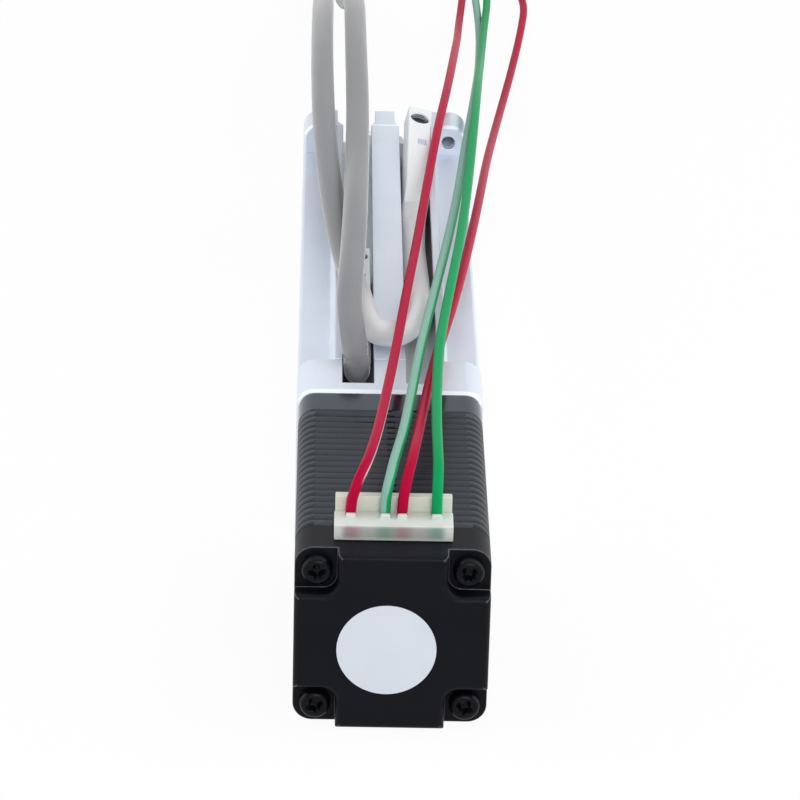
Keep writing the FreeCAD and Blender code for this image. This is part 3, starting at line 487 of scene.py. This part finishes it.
def inner_thread(radius, reach, pitch, depth):
    """The ridge of a thread that winds down the wall of a hole from its mouth, along -Z."""
    shape = bmesh.new()
    root, half = radius + depth / 2, pitch * 0.45
    profile = ((root, 0, half - pitch), (radius - depth, 0, -pitch), (root, 0, -half - pitch))
    corners = [shape.verts.new(corner) for corner in profile]
    edges = [shape.edges.new(pair) for pair in zip(corners, corners[1:] + corners[:1])]
    steps = round((reach / pitch - 2) * thread_steps)
    bmesh.ops.spin(shape, geom=corners + edges, cent=(0, 0, 0), axis=(0, 0, 1), use_merge=False, steps=steps,
                   angle=2 * math.pi * steps / thread_steps, dvec=(0, 0, -pitch / thread_steps))
    return capped(shape)


dressed("front_flange", aluminium, edge=0.04 * mm)
low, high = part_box("front_flange")
ear_margin = 2.2 * mm
ear_thread = inner_thread(radius=0.85 * mm, reach=5.2 * mm, pitch=0.4 * mm, depth=0.12 * mm)
ear_places = corner_places(low, high, ear_margin, high.y, (0, 80, 200, 300), rearward=False)
piece("ear_hole_threads", placed_copies(ear_thread, ear_places), aluminium, "body", [])
shown(["rod_bush"], finish("oiled_bronze", oiled_bronze, Metallic=1.0))
dressed("wiper_seal", rubber, edge=0.06 * mm)
low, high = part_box("flange_screws")
key_width = 1.3 * mm
sunk_radius = 1.85 * mm
sunk_shank = 0.96 * mm
sunk_rings = [(1.1 * mm, -0.02 * mm), (1.74 * mm, -0.02 * mm), (sunk_radius, -0.08 * mm),
              (sunk_shank, -0.88 * mm), (sunk_shank, low.y - high.y)]
sunk_screw = driven_screw(sunk_rings, hexagon_outline(key_width), depth=0.7 * mm, taper=1.0)
sunk_places = corner_places(low, high, sunk_radius, high.y, (12, 48, 33, 5), rearward=False)
flange_heads = piece("flange_screw_heads", placed_copies(sunk_screw, sunk_places), zinc, "body",
                     ["flange_screws"])
break_edges(flange_heads, 0.04 * mm, angle=40)

# Front bell of the motor
# A die-cast end bell in gloss black paint, which carries the front bearing. Four socket screws in the
# body's corner notches hold it to the adapter.
def gloss_black(place):
    orange_peel = place.noise(2600)
    dust = place.noise(30000, 1.0)
    return {
        "Base Color": orange_peel.mix(tone(15, 16, 24), tone(22, 24, 34)),
        "Roughness": 0.1 + dust * 0.1,
        "Normal": orange_peel.bump(0.002 * mm),
    }


# Painted reflection colour: the gloss of the black paints is tinted cool, as a cool light would tint it.
painted_cool_reflection = (0.45, 0.7, 1.0, 1.0)
front_bell_black = finish("gloss_black_paint", gloss_black, IOR=1.51, Specular_Tint=painted_cool_reflection)
dressed("motor_front_bell", front_bell_black, edge=0.12 * mm)
low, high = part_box("motor_mount_screws")
cap_radius = 1.3 * mm
cap_shank = 0.96 * mm
cap_height = 1.6 * mm
cap_rings = [(0.95 * mm, 0.0), (1.18 * mm, 0.0), (cap_radius, -0.12 * mm), (cap_radius, -cap_height),
             (cap_shank, -cap_height), (cap_shank, low.y - high.y)]
cap_screw = driven_screw(cap_rings, hexagon_outline(key_width), depth=0.9 * mm, taper=1.0)
cap_places = corner_places(low, high, cap_radius, high.y, (20, 51, 3, 38), rearward=False)
mount_heads = piece("motor_mount_screw_heads", placed_copies(cap_screw, cap_places), zinc, "body",
                    ["motor_mount_screws"])
break_edges(mount_heads, 0.04 * mm, angle=40)

# Stator
# Steel laminations stacked between the bells, with dark coated edges. The stack shows as fine grooves.
lamination_pitch = 1.37 * mm
groove_depth = 0.06 * mm
groove_half = 0.16 * mm
stack_outside = 9.9 * mm
sheet_thickness = 0.45 * mm


def grooved_stack():
    shape = merged_copy("stator_core")
    low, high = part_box("stator_core")
    count = round((high.y - low.y) / lamination_pitch)
    pitch = (high.y - low.y) / count
    for i in range(1, count):
        for offset in (-groove_half, 0.0, groove_half):
            geometry = shape.verts[:] + shape.edges[:] + shape.faces[:]
            bmesh.ops.bisect_plane(shape, geom=geometry, dist=0.0005 * mm,
                                   plane_co=(0, low.y + i * pitch + offset, 0), plane_no=(0, 1, 0))
    shape.normal_update()
    for vertex in shape.verts:
        station = (vertex.co.y - low.y) / pitch
        in_groove = abs(station - round(station)) * pitch < 0.01 * mm and 0 < round(station) < count
        outside = math.hypot(vertex.co.x, vertex.co.z) > stack_outside
        if in_groove and outside:
            vertex.co -= vertex.normal * groove_depth
    return shape


def coated_steel(place):
    sheet = (place.axis("Y") / sheet_thickness).fract()
    grain = place.scaled(1500, 14000, 1500).noise(1.0)
    worn = place.noise(420, 4.0)
    return {
        "Base Color": (worn * 0.6 + grain * 0.4).mix(tone(14, 14, 18), tone(32, 32, 38)),
        "Roughness": 0.3 + grain * 0.16,
        "Normal": (sheet.step(0.0, 0.2) * 0.4 + grain * 0.6).bump(0.004 * mm),
    }


stator_black = finish("coated_lamination_edges", coated_steel, Specular_IOR_Level=0.26,
                      Specular_Tint=painted_cool_reflection)
stack = piece("stator_core_finished", grooved_stack(), stator_black, "body", ["stator_core"])
break_edges(stack, 0.03 * mm, segments=1, angle=50)

# Coils and rotor
# Eight coils of enamelled copper wire on the stator's poles, and a rotor of two steel stacks with a
# disc magnet between them on the hollow shaft.
wire_spacing = 0.25 * mm


def enamelled(place):
    winding = (place.axis("Y") / wire_spacing).fract()
    shade = place.noise(2200)
    return {
        "Base Color": shade.mix(tone(168, 92, 52), tone(204, 124, 74)),
        "Roughness": 0.24 + shade * 0.12,
        "Normal": winding.bump(0.03 * mm),
    }


copper = finish("enamelled_copper", enamelled, Metallic=0.9)
shown(["stator_coils"], copper)
shown(["rotor_shaft", "rotor_stacks"], steel)
shown(["rotor_magnet"], magnet)

# Rear bell of the motor
# The rear die casting in satin black paint, with a recessed pad at each corner for a screw head. Its
# bevelled edges are glossier, and painted lighter as a painted highlight.
def satin_black(place):
    texture = place.noise(5200, 3.0)
    cloud = place.noise(240)
    return {
        "Base Color": cloud.mix(tone(9, 10, 17), tone(14, 15, 23)),
        "Roughness": 0.36 + texture * 0.12,
        "Normal": texture.bump(0.003 * mm),
    }


# Painted highlight: a lighter black for the bevels along every edge, glossier than the faces.
def edge_highlight_black(place):
    highlight_patches = place.noise(1400, 4.0)
    return {
        "Base Color": highlight_patches.mix(tone(24, 25, 32), tone(58, 59, 66)),
        "Roughness": 0.2 + highlight_patches * 0.14,
    }


rear_bell_black = finish("satin_black_paint", satin_black, Specular_IOR_Level=0.1)
rear_bell = dressed("rear_bell", rear_bell_black, edge=0.1 * mm, segments=3)
# The bevels take the lighter black, a painted highlight.
rear_bell.data.materials.append(finish("edge_highlight_black_paint", edge_highlight_black))
rear_bell.modifiers["broken_edges"].material = 1

# Tie screws
# Four black pan-head screws with a cross recess. They hold the two bells together through the stack.
def cross_outline(arm, half_width):
    """A cross recess seen from above, with its four arms widening a little inwards."""
    quarter = [(arm, -half_width), (arm, half_width), (half_width * 1.5, half_width * 1.5)]
    return [(x * c - y * s, x * s + y * c)
            for c, s in ((1, 0), (0, 1), (-1, 0), (0, -1)) for x, y in quarter]


def black_oxide(place):
    grain = place.noise(9000)
    worn = place.noise(1500, 3.0)
    return {
        "Base Color": worn.mix(tone(5, 6, 11), tone(12, 13, 19)),
        "Roughness": 0.24 + grain * 0.14,
        "Normal": grain.bump(0.003 * mm),
    }


screw_black = finish("black_oxide_steel", black_oxide, Specular_IOR_Level=0.11)
low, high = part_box("tie_screws")
pan_radius = 1.6 * mm
pan_height = 1.3 * mm
pan_shank = 0.96 * mm
pan_reach = 4.0 * mm
pan_rings = [(1.06 * mm, 0.0), (1.24 * mm, -0.07 * mm), (1.42 * mm, -0.2 * mm), (1.54 * mm, -0.42 * mm),
             (pan_radius, -0.74 * mm), (pan_radius, -pan_height), (pan_shank, -pan_height),
             (pan_shank, -pan_reach)]
cross = cross_outline(arm=0.95 * mm, half_width=0.27 * mm)
pan_screw = driven_screw(pan_rings, cross, depth=0.8 * mm, taper=0.5)
pan_places = corner_places(low, high, pan_radius, low.y, (25, 62, 8, 40), rearward=True)
tie_heads = piece("tie_screw_heads", placed_copies(pan_screw, pan_places), screw_black, "body",
                  ["tie_screws"])
break_edges(tie_heads, 0.05 * mm, angle=40)

# Rear label
# A plain round disc of pale matt film, stuck on the rear bell.
def pale_film(place):
    fibre = place.noise(7000, 3.0)
    cloud = place.noise(260)
    return {
        "Base Color": cloud.mix(tone(212, 220, 231), tone(220, 227, 237)),
        "Roughness": 0.5 + fibre * 0.15,
        "Normal": fibre.bump(0.002 * mm),
    }


label_film = finish("pale_label_film", pale_film)
dressed("rear_label", label_film, edge=0.03 * mm)

# Motor connector
# A header and a wire housing moulded in natural nylon, with six tinned pins. Four places are wired,
# and the insulation of the leads shows through the nylon.
wire_pitch = 1.75 * mm
wired = {"pink": (-2.5, 0.5), "green": (-0.5, 2.5)}


def natural_nylon(place):
    across, along, above = place.axis("X"), place.axis("Y"), place.axis("Z")
    low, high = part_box("connector_plug")
    cloud = place.noise(900, 3.0)
    skin = place.noise(12000)
    inside = across.step(low.x + 0.4 * mm, low.x + 1.3 * mm)
    inside = inside * across.step(high.x - 0.5 * mm, high.x - 1.4 * mm)
    inside = inside * above.step(high.z - 0.5 * mm, high.z - 1.1 * mm) * above.step(low.z, low.z + 0.6 * mm)
    inside = inside * along.step(low.y + 0.9 * mm, low.y + 0.3 * mm)

    def near(places):
        first, second = [abs(across - share * wire_pitch).step(1.5 * mm, 0.1 * mm) for share in places]
        return first + second

    plain = cloud.mix(tone(212, 219, 214), tone(224, 230, 225))
    amber = (along.step(high.y - 1.2 * mm, high.y - 0.2 * mm) * 0.4).mix(plain, tone(230, 228, 206))
    # Painted shade: the cavity behind the plug's front face is painted darker.
    painted_cavity_shade = (inside * 0.75).mix(amber, tone(172, 174, 168))
    reddened = (inside * near(wired["pink"]) * 0.6).mix(painted_cavity_shade, tone(170, 106, 118))
    return {
        "Base Color": (inside * near(wired["green"]) * 0.6).mix(reddened, tone(92, 156, 130)),
        "Roughness": 0.3 + skin * 0.1,
        "Normal": (cloud * 0.7 + skin * 0.3).bump(0.006 * mm),
    }


def tinned(place):
    dullness_and_painted_shade = place.noise(4000, 3.0)
    return {
        "Base Color": dullness_and_painted_shade.mix(tone(186, 170, 128), tone(206, 192, 150)),
        "Roughness": 0.26 + dullness_and_painted_shade * 0.16,
    }


nylon = finish("natural_nylon", natural_nylon, Subsurface_Weight=0.25, Subsurface_Scale=0.6 * mm, IOR=1.53)
dressed("connector_header", nylon, edge=0.1 * mm, segments=3)
dressed("connector_plug", nylon, edge=0.12 * mm, segments=3)
shown(["header_pins", "plug_contacts"], finish("tinned_brass", tinned, Metallic=1.0))

# Sensors
# Two slot sensors in cream plastic, each clamped in its slot by a set screw in its nose, with a small
# clear window for its light and a soft boot round its cable.
def cream_plastic(place):
    skin = place.noise(9000)
    cloud = place.noise(500)
    return {
        "Base Color": cloud.mix(tone(233, 239, 241), tone(240, 245, 246)),
        "Roughness": 0.3 + skin * 0.12,
        "Normal": skin.bump(0.003 * mm),
    }


def clear_lens(place):
    depth = place.noise(1800)
    return {
        "Base Color": depth.mix(tone(186, 196, 222), tone(206, 212, 232)),
        "Roughness": 0.12 + depth * 0.1,
    }


def browned(place):
    stain = place.noise(3000, 3.0)
    return {
        "Base Color": stain.mix(tone(72, 72, 76), tone(104, 104, 108)),
        "Roughness": 0.26 + stain * 0.2,
    }


def soft_boot(place):
    skin = place.noise(3200, 3.0)
    return {
        "Base Color": skin.mix(tone(231, 232, 234), tone(239, 240, 242)),
        "Roughness": 0.42 + skin * 0.14,
        "Normal": skin.bump(0.004 * mm),
    }


sensor_cream = finish("moulded_cream_plastic", cream_plastic, IOR=1.5)
for name in ("front_sensor", "rear_sensor"):
    dressed(name, sensor_cream, edge=0.045 * mm)
browned_steel = finish("browned_steel", browned, Metallic=1.0)
dressed("sensor_screws", browned_steel, edge=0.05 * mm)
nose_thread = inner_thread(radius=1.19 * mm, reach=0.98 * mm, pitch=0.22 * mm, depth=0.09 * mm)
front_nose = ((4.257, -10.136, 13.193), (0.2384, -0.138, 0.9613))
rear_nose = ((-3.5, -46.2, 9.9), (0, 0, 1))
nose_places = []
for mouth, way in (front_nose, rear_nose):
    facing = Vector(way).to_track_quat("Z", "Y").to_matrix().to_4x4()
    nose_places.append(Matrix.Translation(Vector(mouth) * mm) @ facing)
# The nose threads take the screws' dark browned steel, which darkens the holes' walls as painted shade.
piece("sensor_nose_threads", placed_copies(nose_thread, nose_places), browned_steel, "body", [])
dressed("sensor_windows", finish("clear_lens", clear_lens), edge=0.06 * mm)
boot_grey = finish("soft_boot_plastic", soft_boot, Specular_IOR_Level=0.3)
dressed("sensor_boots", boot_grey, edge=0.1 * mm, segments=3)

# Cords
# Two round grey sensor cables and four thin motor leads. They run off the front of the body to the
# floor, and the length that is left over lies there in two tied coils.
points_per_turn = 16


def coil_points(centre, radius, start, turns, rise):
    """A rising coil that starts on the right of its centre and turns to the left seen from above."""
    reach = radius / math.cos(math.pi / points_per_turn)
    points = []
    for i in range(1, round(turns * points_per_turn) + 1):
        angle = 2 * math.pi * i / points_per_turn
        points.append((centre[0] + reach * math.cos(angle), centre[1] + reach * math.sin(angle),
                       start + rise * i / points_per_turn))
    return points


def lay_cord(name, points, diameter, material, replaced):
    """One cord on a smooth spline through its route and coil."""
    curve = bpy.data.curves.new(name, "CURVE")
    curve.dimensions = "3D"
    curve.twist_mode = "Z_UP"
    curve.bevel_depth = diameter / 2 * mm
    curve.bevel_resolution = 7
    curve.resolution_u = 6
    curve.use_fill_caps = True
    spline = curve.splines.new("NURBS")
    spline.points.add(len(points) - 1)
    for target, (x, y, z) in zip(spline.points, points):
        target.co = (x * mm, y * mm, z * mm, 1.0)
    spline.order_u = 3
    spline.use_endpoint_u = True
    spline.use_smooth = True
    curve.materials.append(material)
    made = bpy.data.objects.new(name, curve)
    bpy.context.scene.collection.objects.link(made)
    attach(made, "body")
    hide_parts(*replaced)
    x, y, z = points[0]
    x * mm
    y * mm
    z * mm


def bare_strand(name, points, radius, reach, offset):
    """A short bare copper core that stands out of a cord's cut end."""
    end, before = Vector(points[-1]) * mm, Vector(points[-2]) * mm
    way = (end - before).normalized()
    side = way.cross(Vector((0, 0, 1))).normalized() * offset
    facing = way.to_track_quat("Z", "Y").to_matrix().to_4x4()
    shape = bmesh.new()
    bmesh.ops.create_cone(shape, cap_ends=True, segments=16, radius1=radius, radius2=radius * 0.9,
                          depth=2 * reach, matrix=Matrix.Translation(end + side) @ facing)
    made = piece(name, shape, copper, "body", [])
    return break_edges(made, radius / 4)


def sheathing(painted_light_share):
    """A sensor cable's sheath: painted light up to this share of its length, painted shade past it."""
    def paint(place):
        skin = place.scaled(900, 16, 1).noise(1.0, 3.0)
        cloud = place.scaled(60, 2, 1).noise(1.0)
        # Painted light: the pale sheath near the sensor. Painted shade: the dark grey beyond.
        new_verts_and_painted_light = cloud.mix(tone(230, 231, 233), tone(238, 239, 241))
        painted_shade_grey = cloud.mix(tone(130, 131, 134), tone(144, 145, 148))
        return {
            "Base Color": place.axis("X").step(painted_light_share, painted_light_share + 0.05).mix(new_verts_and_painted_light, painted_shade_grey),
            "Roughness": 0.45 + skin * 0.14,
            "Normal": skin.bump(0.004 * mm),
        }
    return paint


sensor_lead = 2.9
sensor_centre = (-20.0, 119.5)
sensor_start = -8.15
sensor_rise = 3.0
sensor_routes = {
    "rear": (14.9, 3.1, 0.0, ["rear_sensor_lead", "sensor_lead_coil"], [
        (-3.5, -69.5, 7.9), (-3.5, -71.2, 7.9), (-3.6, -74.9, 7.95), (-3.72, -76.7, 10.8),
        (-4.25, -75.2, 13.75), (-4.6, -70.8, 14.6), (-4.5, -66.0, 15.05), (-4.1, -55.0, 15.1),
        (-3.83, -41.5, 14.6), (-3.6, -24.0, 12.8), (-3.45, -6.0, 11.9), (-3.55, 12.0, 11.1),
        (-3.65, 29.0, 9.6), (-3.65, 45.0, 7.4), (-3.8, 60.0, 3.7), (-4.3, 75.0, -2.2),
        (-4.8, 88.0, -6.9), (-5.1, 99.5, -8.35), (-5.1, 109.95, -8.15),
    ]),
    "front": (11.95, 3.5, 0.12, ["front_sensor_lead"], [
        (3.178, -32.945, 8.106), (3.073, -36.95, 7.557), (3.25, -42.0, 7.5), (3.42, -49.5, 8.1),
        (3.4, -55.0, 9.2), (3.15, -60.5, 10.7), (2.95, -65.5, 11.75), (2.6, -69.6, 11.9),
        (1.35, -72.3, 11.9), (-0.7, -72.7, 11.9), (-2.05, -71.2, 11.9), (-2.8, -67.0, 11.9),
        (-3.35, -62.5, 11.87), (-4.3, -56.5, 11.85), (-5.55, -46.5, 11.85), (-6.65, -32.0, 11.9),
        (-7.5, -15.5, 12.05), (-7.9, 2.0, 11.85), (-8.05, 20.0, 10.6), (-8.05, 38.0, 8.2),
        (-8.0, 55.0, 4.4), (-7.95, 71.0, -1.2), (-8.0, 84.0, -6.4), (-8.05, 96.0, -8.4),
        (-8.05, 106.85, -8.15),
    ]),
}
for name, (radius, turns, painted_light_share, replaced, route) in sensor_routes.items():
    sheath = finish(name + "_cable_sheath", sheathing(painted_light_share), "UV", Specular_IOR_Level=0.2, Sheen_Weight=1.0,
                    Sheen_Roughness=0.25)
    points = route + coil_points(sensor_centre, radius, sensor_start, turns, sensor_rise)
    for side, offset in (("left", 0.55 * mm), ("right", -0.55 * mm)):
        core = name + "_sensor_core_" + side
        bare_strand(core, points, radius=0.35 * mm, reach=5.0 * mm, offset=offset)
    lay_cord(name + "_sensor_cable", points, sensor_lead, sheath, replaced)

soft_edge = 0.02


def insulation(main, stripe, middle, half, twist=0.25, start=-0.1):
    """A lead's insulation, with a stripe that covers a share of the way round and slowly twists."""
    def paint(place):
        twisted = place.axis("Y") - place.axis("X") * twist
        striped = place.axis("X").step(start, start + soft_edge)
        mask = abs(twisted - middle).step(half + soft_edge, half - soft_edge) * striped
        scuff = place.scaled(900, 6, 1).noise(1.0)
        return {
            "Base Color": mask.mix(main, stripe),
            "Roughness": 0.3 + scuff * 0.14,
            "Normal": scuff.bump(0.002 * mm),
        }
    return paint


crimson = tone(180, 8, 58)
leaf = tone(16, 156, 92)
pale_green = tone(140, 188, 172)
white = tone(236, 226, 228)
red_striped = insulation(crimson, white, middle=0.43, half=0.05, start=0.03)
green_striped = insulation(pale_green, leaf, middle=0.42, half=0.11, twist=0.0)
plain_red = insulation(crimson, crimson, middle=0.25, half=0.1)
plain_green = insulation(leaf, leaf, middle=0.25, half=0.1)
motor_lead = 1.1
motor_centre = (8.5, 122.0)
motor_start = -9.25
motor_rise = 1.4
leads = {
    "red_white": (red_striped, "wire_red_striped", 4.75, 2.5, [
        (-4.375, -117.3, 11.95), (-4.375, -117.3, 13.3), (-3.95, -117.05, 14.7), (-3.5, -116.1, 15.6),
        (-2.85, -114.2, 16.15), (-2.25, -110.8, 16.2), (-1.55, -105.0, 15.85), (-0.7, -96.0, 15.2),
        (0.55, -82.0, 14.45), (1.85, -66.0, 13.95), (3.35, -48.0, 12.7), (4.8, -30.0, 12.3),
        (6.4, -12.0, 12.6), (8.1, 6.0, 11.4), (9.3, 25.0, 7.9), (10.3, 45.0, 2.6),
        (11.1, 65.0, -4), (11.85, 83.0, -8.5), (12.75, 97.0, -9.62), (13.2, 107.0, -9.5),
        (13.25, 114.4, -9.25),
    ]),
    "green_white": (green_striped, "wire_pale_green", 5.85, 2.0, [
        (-0.875, -117.3, 11.95), (-0.875, -117.3, 13.3), (-0.7, -117.05, 14.7), (-0.4, -116.1, 15.6),
        (-0.1, -114.2, 16.15), (0.4, -110.8, 16.2), (1.1, -105.0, 15.6), (1.9, -96.0, 14.95),
        (3.15, -82.0, 14.5), (4.95, -66.0, 13.95), (6.75, -48.0, 12), (8.55, -30.0, 11.2),
        (10, -12.0, 10.9), (11.45, 6.0, 9.1), (12.4, 25.0, 3.9), (13.35, 45.0, -2.4),
        (14.3, 65.0, -7.6), (14.95, 83.0, -9.62), (14.7, 97.0, -9.62), (14.4, 107.0, -9.5),
        (14.35, 115.1, -9.25),
    ]),
    "red": (plain_red, "wire_red", 8.05, 1.5, [
        (0.875, -117.3, 11.95), (0.875, -117.3, 13.3), (1.1, -117.05, 14.7), (1.35, -116.1, 15.6),
        (1.7, -114.2, 16.15), (2.1, -110.8, 16.2), (2.6, -105.0, 15.3), (3.4, -96.0, 14.4),
        (4.8, -82.0, 13.3), (7.1, -66.0, 12.3), (9.15, -48.0, 10.9), (10.8, -30.0, 8.6),
        (12.15, -12.0, 5.2), (13.35, 6.0, 0.9), (14.8, 25.0, -3.6), (16.6, 45.0, -7.4),
        (18.85, 65.0, -9.3), (20.95, 83.0, -9.62), (22.2, 97.0, -9.62), (19.3, 108.5, -9.55),
        (16.55, 117.7, -9.25),
    ]),
    "green": (plain_green, "wire_green", 6.95, 1.75, [
        (4.375, -117.3, 11.95), (4.375, -117.3, 13.3), (4.4, -117.05, 14.7), (4.45, -116.1, 15.6),
        (4.5, -114.2, 16.15), (4.5, -110.8, 16.2), (4.5, -105.0, 16), (4.65, -96.0, 15.5),
        (5.2, -82.0, 15), (6.7, -66.0, 14.4), (8.45, -48.0, 13.5), (9.75, -30.0, 12.6),
        (10.85, -12.0, 11.9), (11.85, 6.0, 10.4), (12.75, 25.0, 5.9), (13.65, 45.0, -0.8),
        (14.6, 65.0, -5.9), (15.6, 83.0, -8.4), (16.55, 97.0, -9.5), (16.1, 107.0, -9.5),
        (15.45, 116.2, -9.25),
    ]),
}
for name, (paint, slot, radius, turns, route) in leads.items():
    coated = finish("insulation_" + name, paint, "UV", Specular_IOR_Level=0.04)
    points = route + coil_points(motor_centre, radius, motor_start, turns, motor_rise)
    replaced = ["lead_" + name, "motor_lead_coil"] if name == "green" else ["lead_" + name]
    strand = bare_strand("motor_core_" + name, points, radius=0.28 * mm, reach=3.0 * mm, offset=0.0)
    lay_cord("motor_lead_" + name, points, motor_lead, coated, replaced)

# Coil ties
# Black nylon cable ties round the two coils, each a flat band drawn through its own square head.
def black_nylon(place):
    skin = place.noise(5000, 3.0)
    return {
        "Base Color": skin.mix(tone(24, 24, 25), tone(38, 38, 40)),
        "Roughness": 0.36 + skin * 0.16,
        "Normal": skin.bump(0.003 * mm),
    }


def band_and_head(node, head, tail):
    """The band with its locking head outside the turns, and the cut tail that stands out of the head."""
    shape = merged_copy(node)
    low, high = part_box(node)
    across, middle = (low.x + high.x) / 2, (low.z + high.z) / 2
    for (x, y, z), lift in ((head, 0.0), (tail, head[2] / 2 + tail[2] / 2)):
        size = Matrix.Diagonal((x, y, z, 1))
        place = Matrix.Translation((across, high.y + head[1] / 2 - 0.1 * mm, middle + lift))
        bmesh.ops.create_cube(shape, size=1.0, matrix=place @ size)
    return shape


tie_black = finish("black_nylon", black_nylon)
for name, size in (("sensor_coil_tie", 1.0), ("motor_coil_tie", 0.55)):
    head = (4.4 * mm * size, 2.2 * mm * size, 4.0 * mm * size)
    tail = (2.8 * mm * size, 0.7 * mm * size, 2.4 * mm * size)
    tie = piece(name + "_band", band_and_head(name, head, tail), tie_black, "body", [name])
    break_edges(tie, 0.15 * mm)

# Floor, light and camera
# A white sweep under soft light from above, seen from behind the motor and a little above it.
def seen_share(tree):
    """1 where the camera or a reflection sees the stage, and 0 where the stage only gives light."""
    rays = tree.nodes.new("ShaderNodeLightPath").outputs
    seen = Sock(tree, rays["Is Camera Ray"])
    for ray in ("Is Glossy Ray", "Is Transmission Ray"):
        seen = seen.math("MAXIMUM", seen, Sock(tree, rays[ray]))
    return seen


def stage_material(name, colour, shadow):
    """A floor that is white to the camera and in reflections, and darkens a little in shadow."""
    material = bpy.data.materials.new(name)
    material.use_nodes = True
    tree = material.node_tree
    tree.nodes.remove(tree.nodes["Principled BSDF"])
    seen = seen_share(tree)
    glow = seen.node("ShaderNodeEmission", {}, {"Color": (1, 1, 1, 1), "Strength": 1.0})
    chalk = seen.node("ShaderNodeBsdfDiffuse", {}, {"Color": colour})
    shader = seen.node("ShaderNodeMixShader", {}, {0: seen * (1 - shadow), 1: chalk, 2: glow})
    tree.links.new(shader.out, tree.nodes["Material Output"].inputs["Surface"])
    return material


floor_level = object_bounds()[0].z
floor_shape = bmesh.new()
bmesh.ops.create_grid(floor_shape, x_segments=1, y_segments=1, size=3.0,
                      matrix=Matrix.Translation((0, 0, floor_level - 0.02 * mm)))
floor_mesh = bpy.data.meshes.new("floor")
floor_shape.to_mesh(floor_mesh)
floor_shape.free()
floor_mesh.materials.append(stage_material("white_floor", (1, 1, 1, 1), 0.06))
floor = bpy.data.objects.new("floor", floor_mesh)
bpy.context.scene.collection.objects.link(floor)

world = bpy.data.worlds.new("soft_studio")
bpy.context.scene.world = world
world.use_nodes = True
tree = world.node_tree
background = tree.nodes["Background"]
seen = seen_share(tree)
room_light = 0.3
tree.links.new((room_light + seen * (1 - room_light)).out, background.inputs["Strength"])
background.inputs["Color"].default_value = (1, 1, 1, 1)

lit_middle = Vector((0, -0.08, 0))
for name, size, power, spot in (
    ("left_softbox", (0.5, 0.8), 1.9, (-0.55, -0.05, 0.28)),
    ("right_softbox", (0.5, 0.8), 2.3, (0.55, -0.05, 0.30)),
    ("front_softbox", (0.4, 0.3), 1.9, (0.1, -0.75, 0.35)),
    ("overhead_softbox", (0.4, 0.5), 0.5, (0.05, -0.05, 0.5)),
):
    lamp = bpy.data.lights.new(name, "AREA")
    lamp.shape = "RECTANGLE"
    lamp.size, lamp.size_y = size
    lamp.energy = power
    softbox = bpy.data.objects.new(name, lamp)
    bpy.context.scene.collection.objects.link(softbox)
    softbox.location = spot
    softbox.rotation_euler = (lit_middle - softbox.location).to_track_quat("-Z", "Y").to_euler()

viewpoint = Vector((-8.326, -507.286, 208.092)) * mm
pitch, yaw, roll = math.radians(25.1647), math.radians(1.2703), math.radians(1.552)
lens = bpy.data.cameras.new("camera")
lens.lens = 193.04
lens.sensor_width = 36.0
lens.clip_start, lens.clip_end = 0.05, 20.0
camera = bpy.data.objects.new("camera", lens)
bpy.context.scene.collection.objects.link(camera)
forward = Vector((math.sin(yaw) * math.cos(pitch), math.cos(yaw) * math.cos(pitch), -math.sin(pitch)))
level = Vector((math.cos(yaw), -math.sin(yaw), 0))
upright = level.cross(forward)
right = math.cos(roll) * level + math.sin(roll) * upright
up = math.cos(roll) * upright - math.sin(roll) * level
axes = Matrix((right, up, -forward)).transposed()
camera.matrix_world = Matrix.Translation(viewpoint) @ axes.to_4x4()
bpy.context.scene.camera = camera
bpy.context.scene.view_settings.view_transform = "Standard"
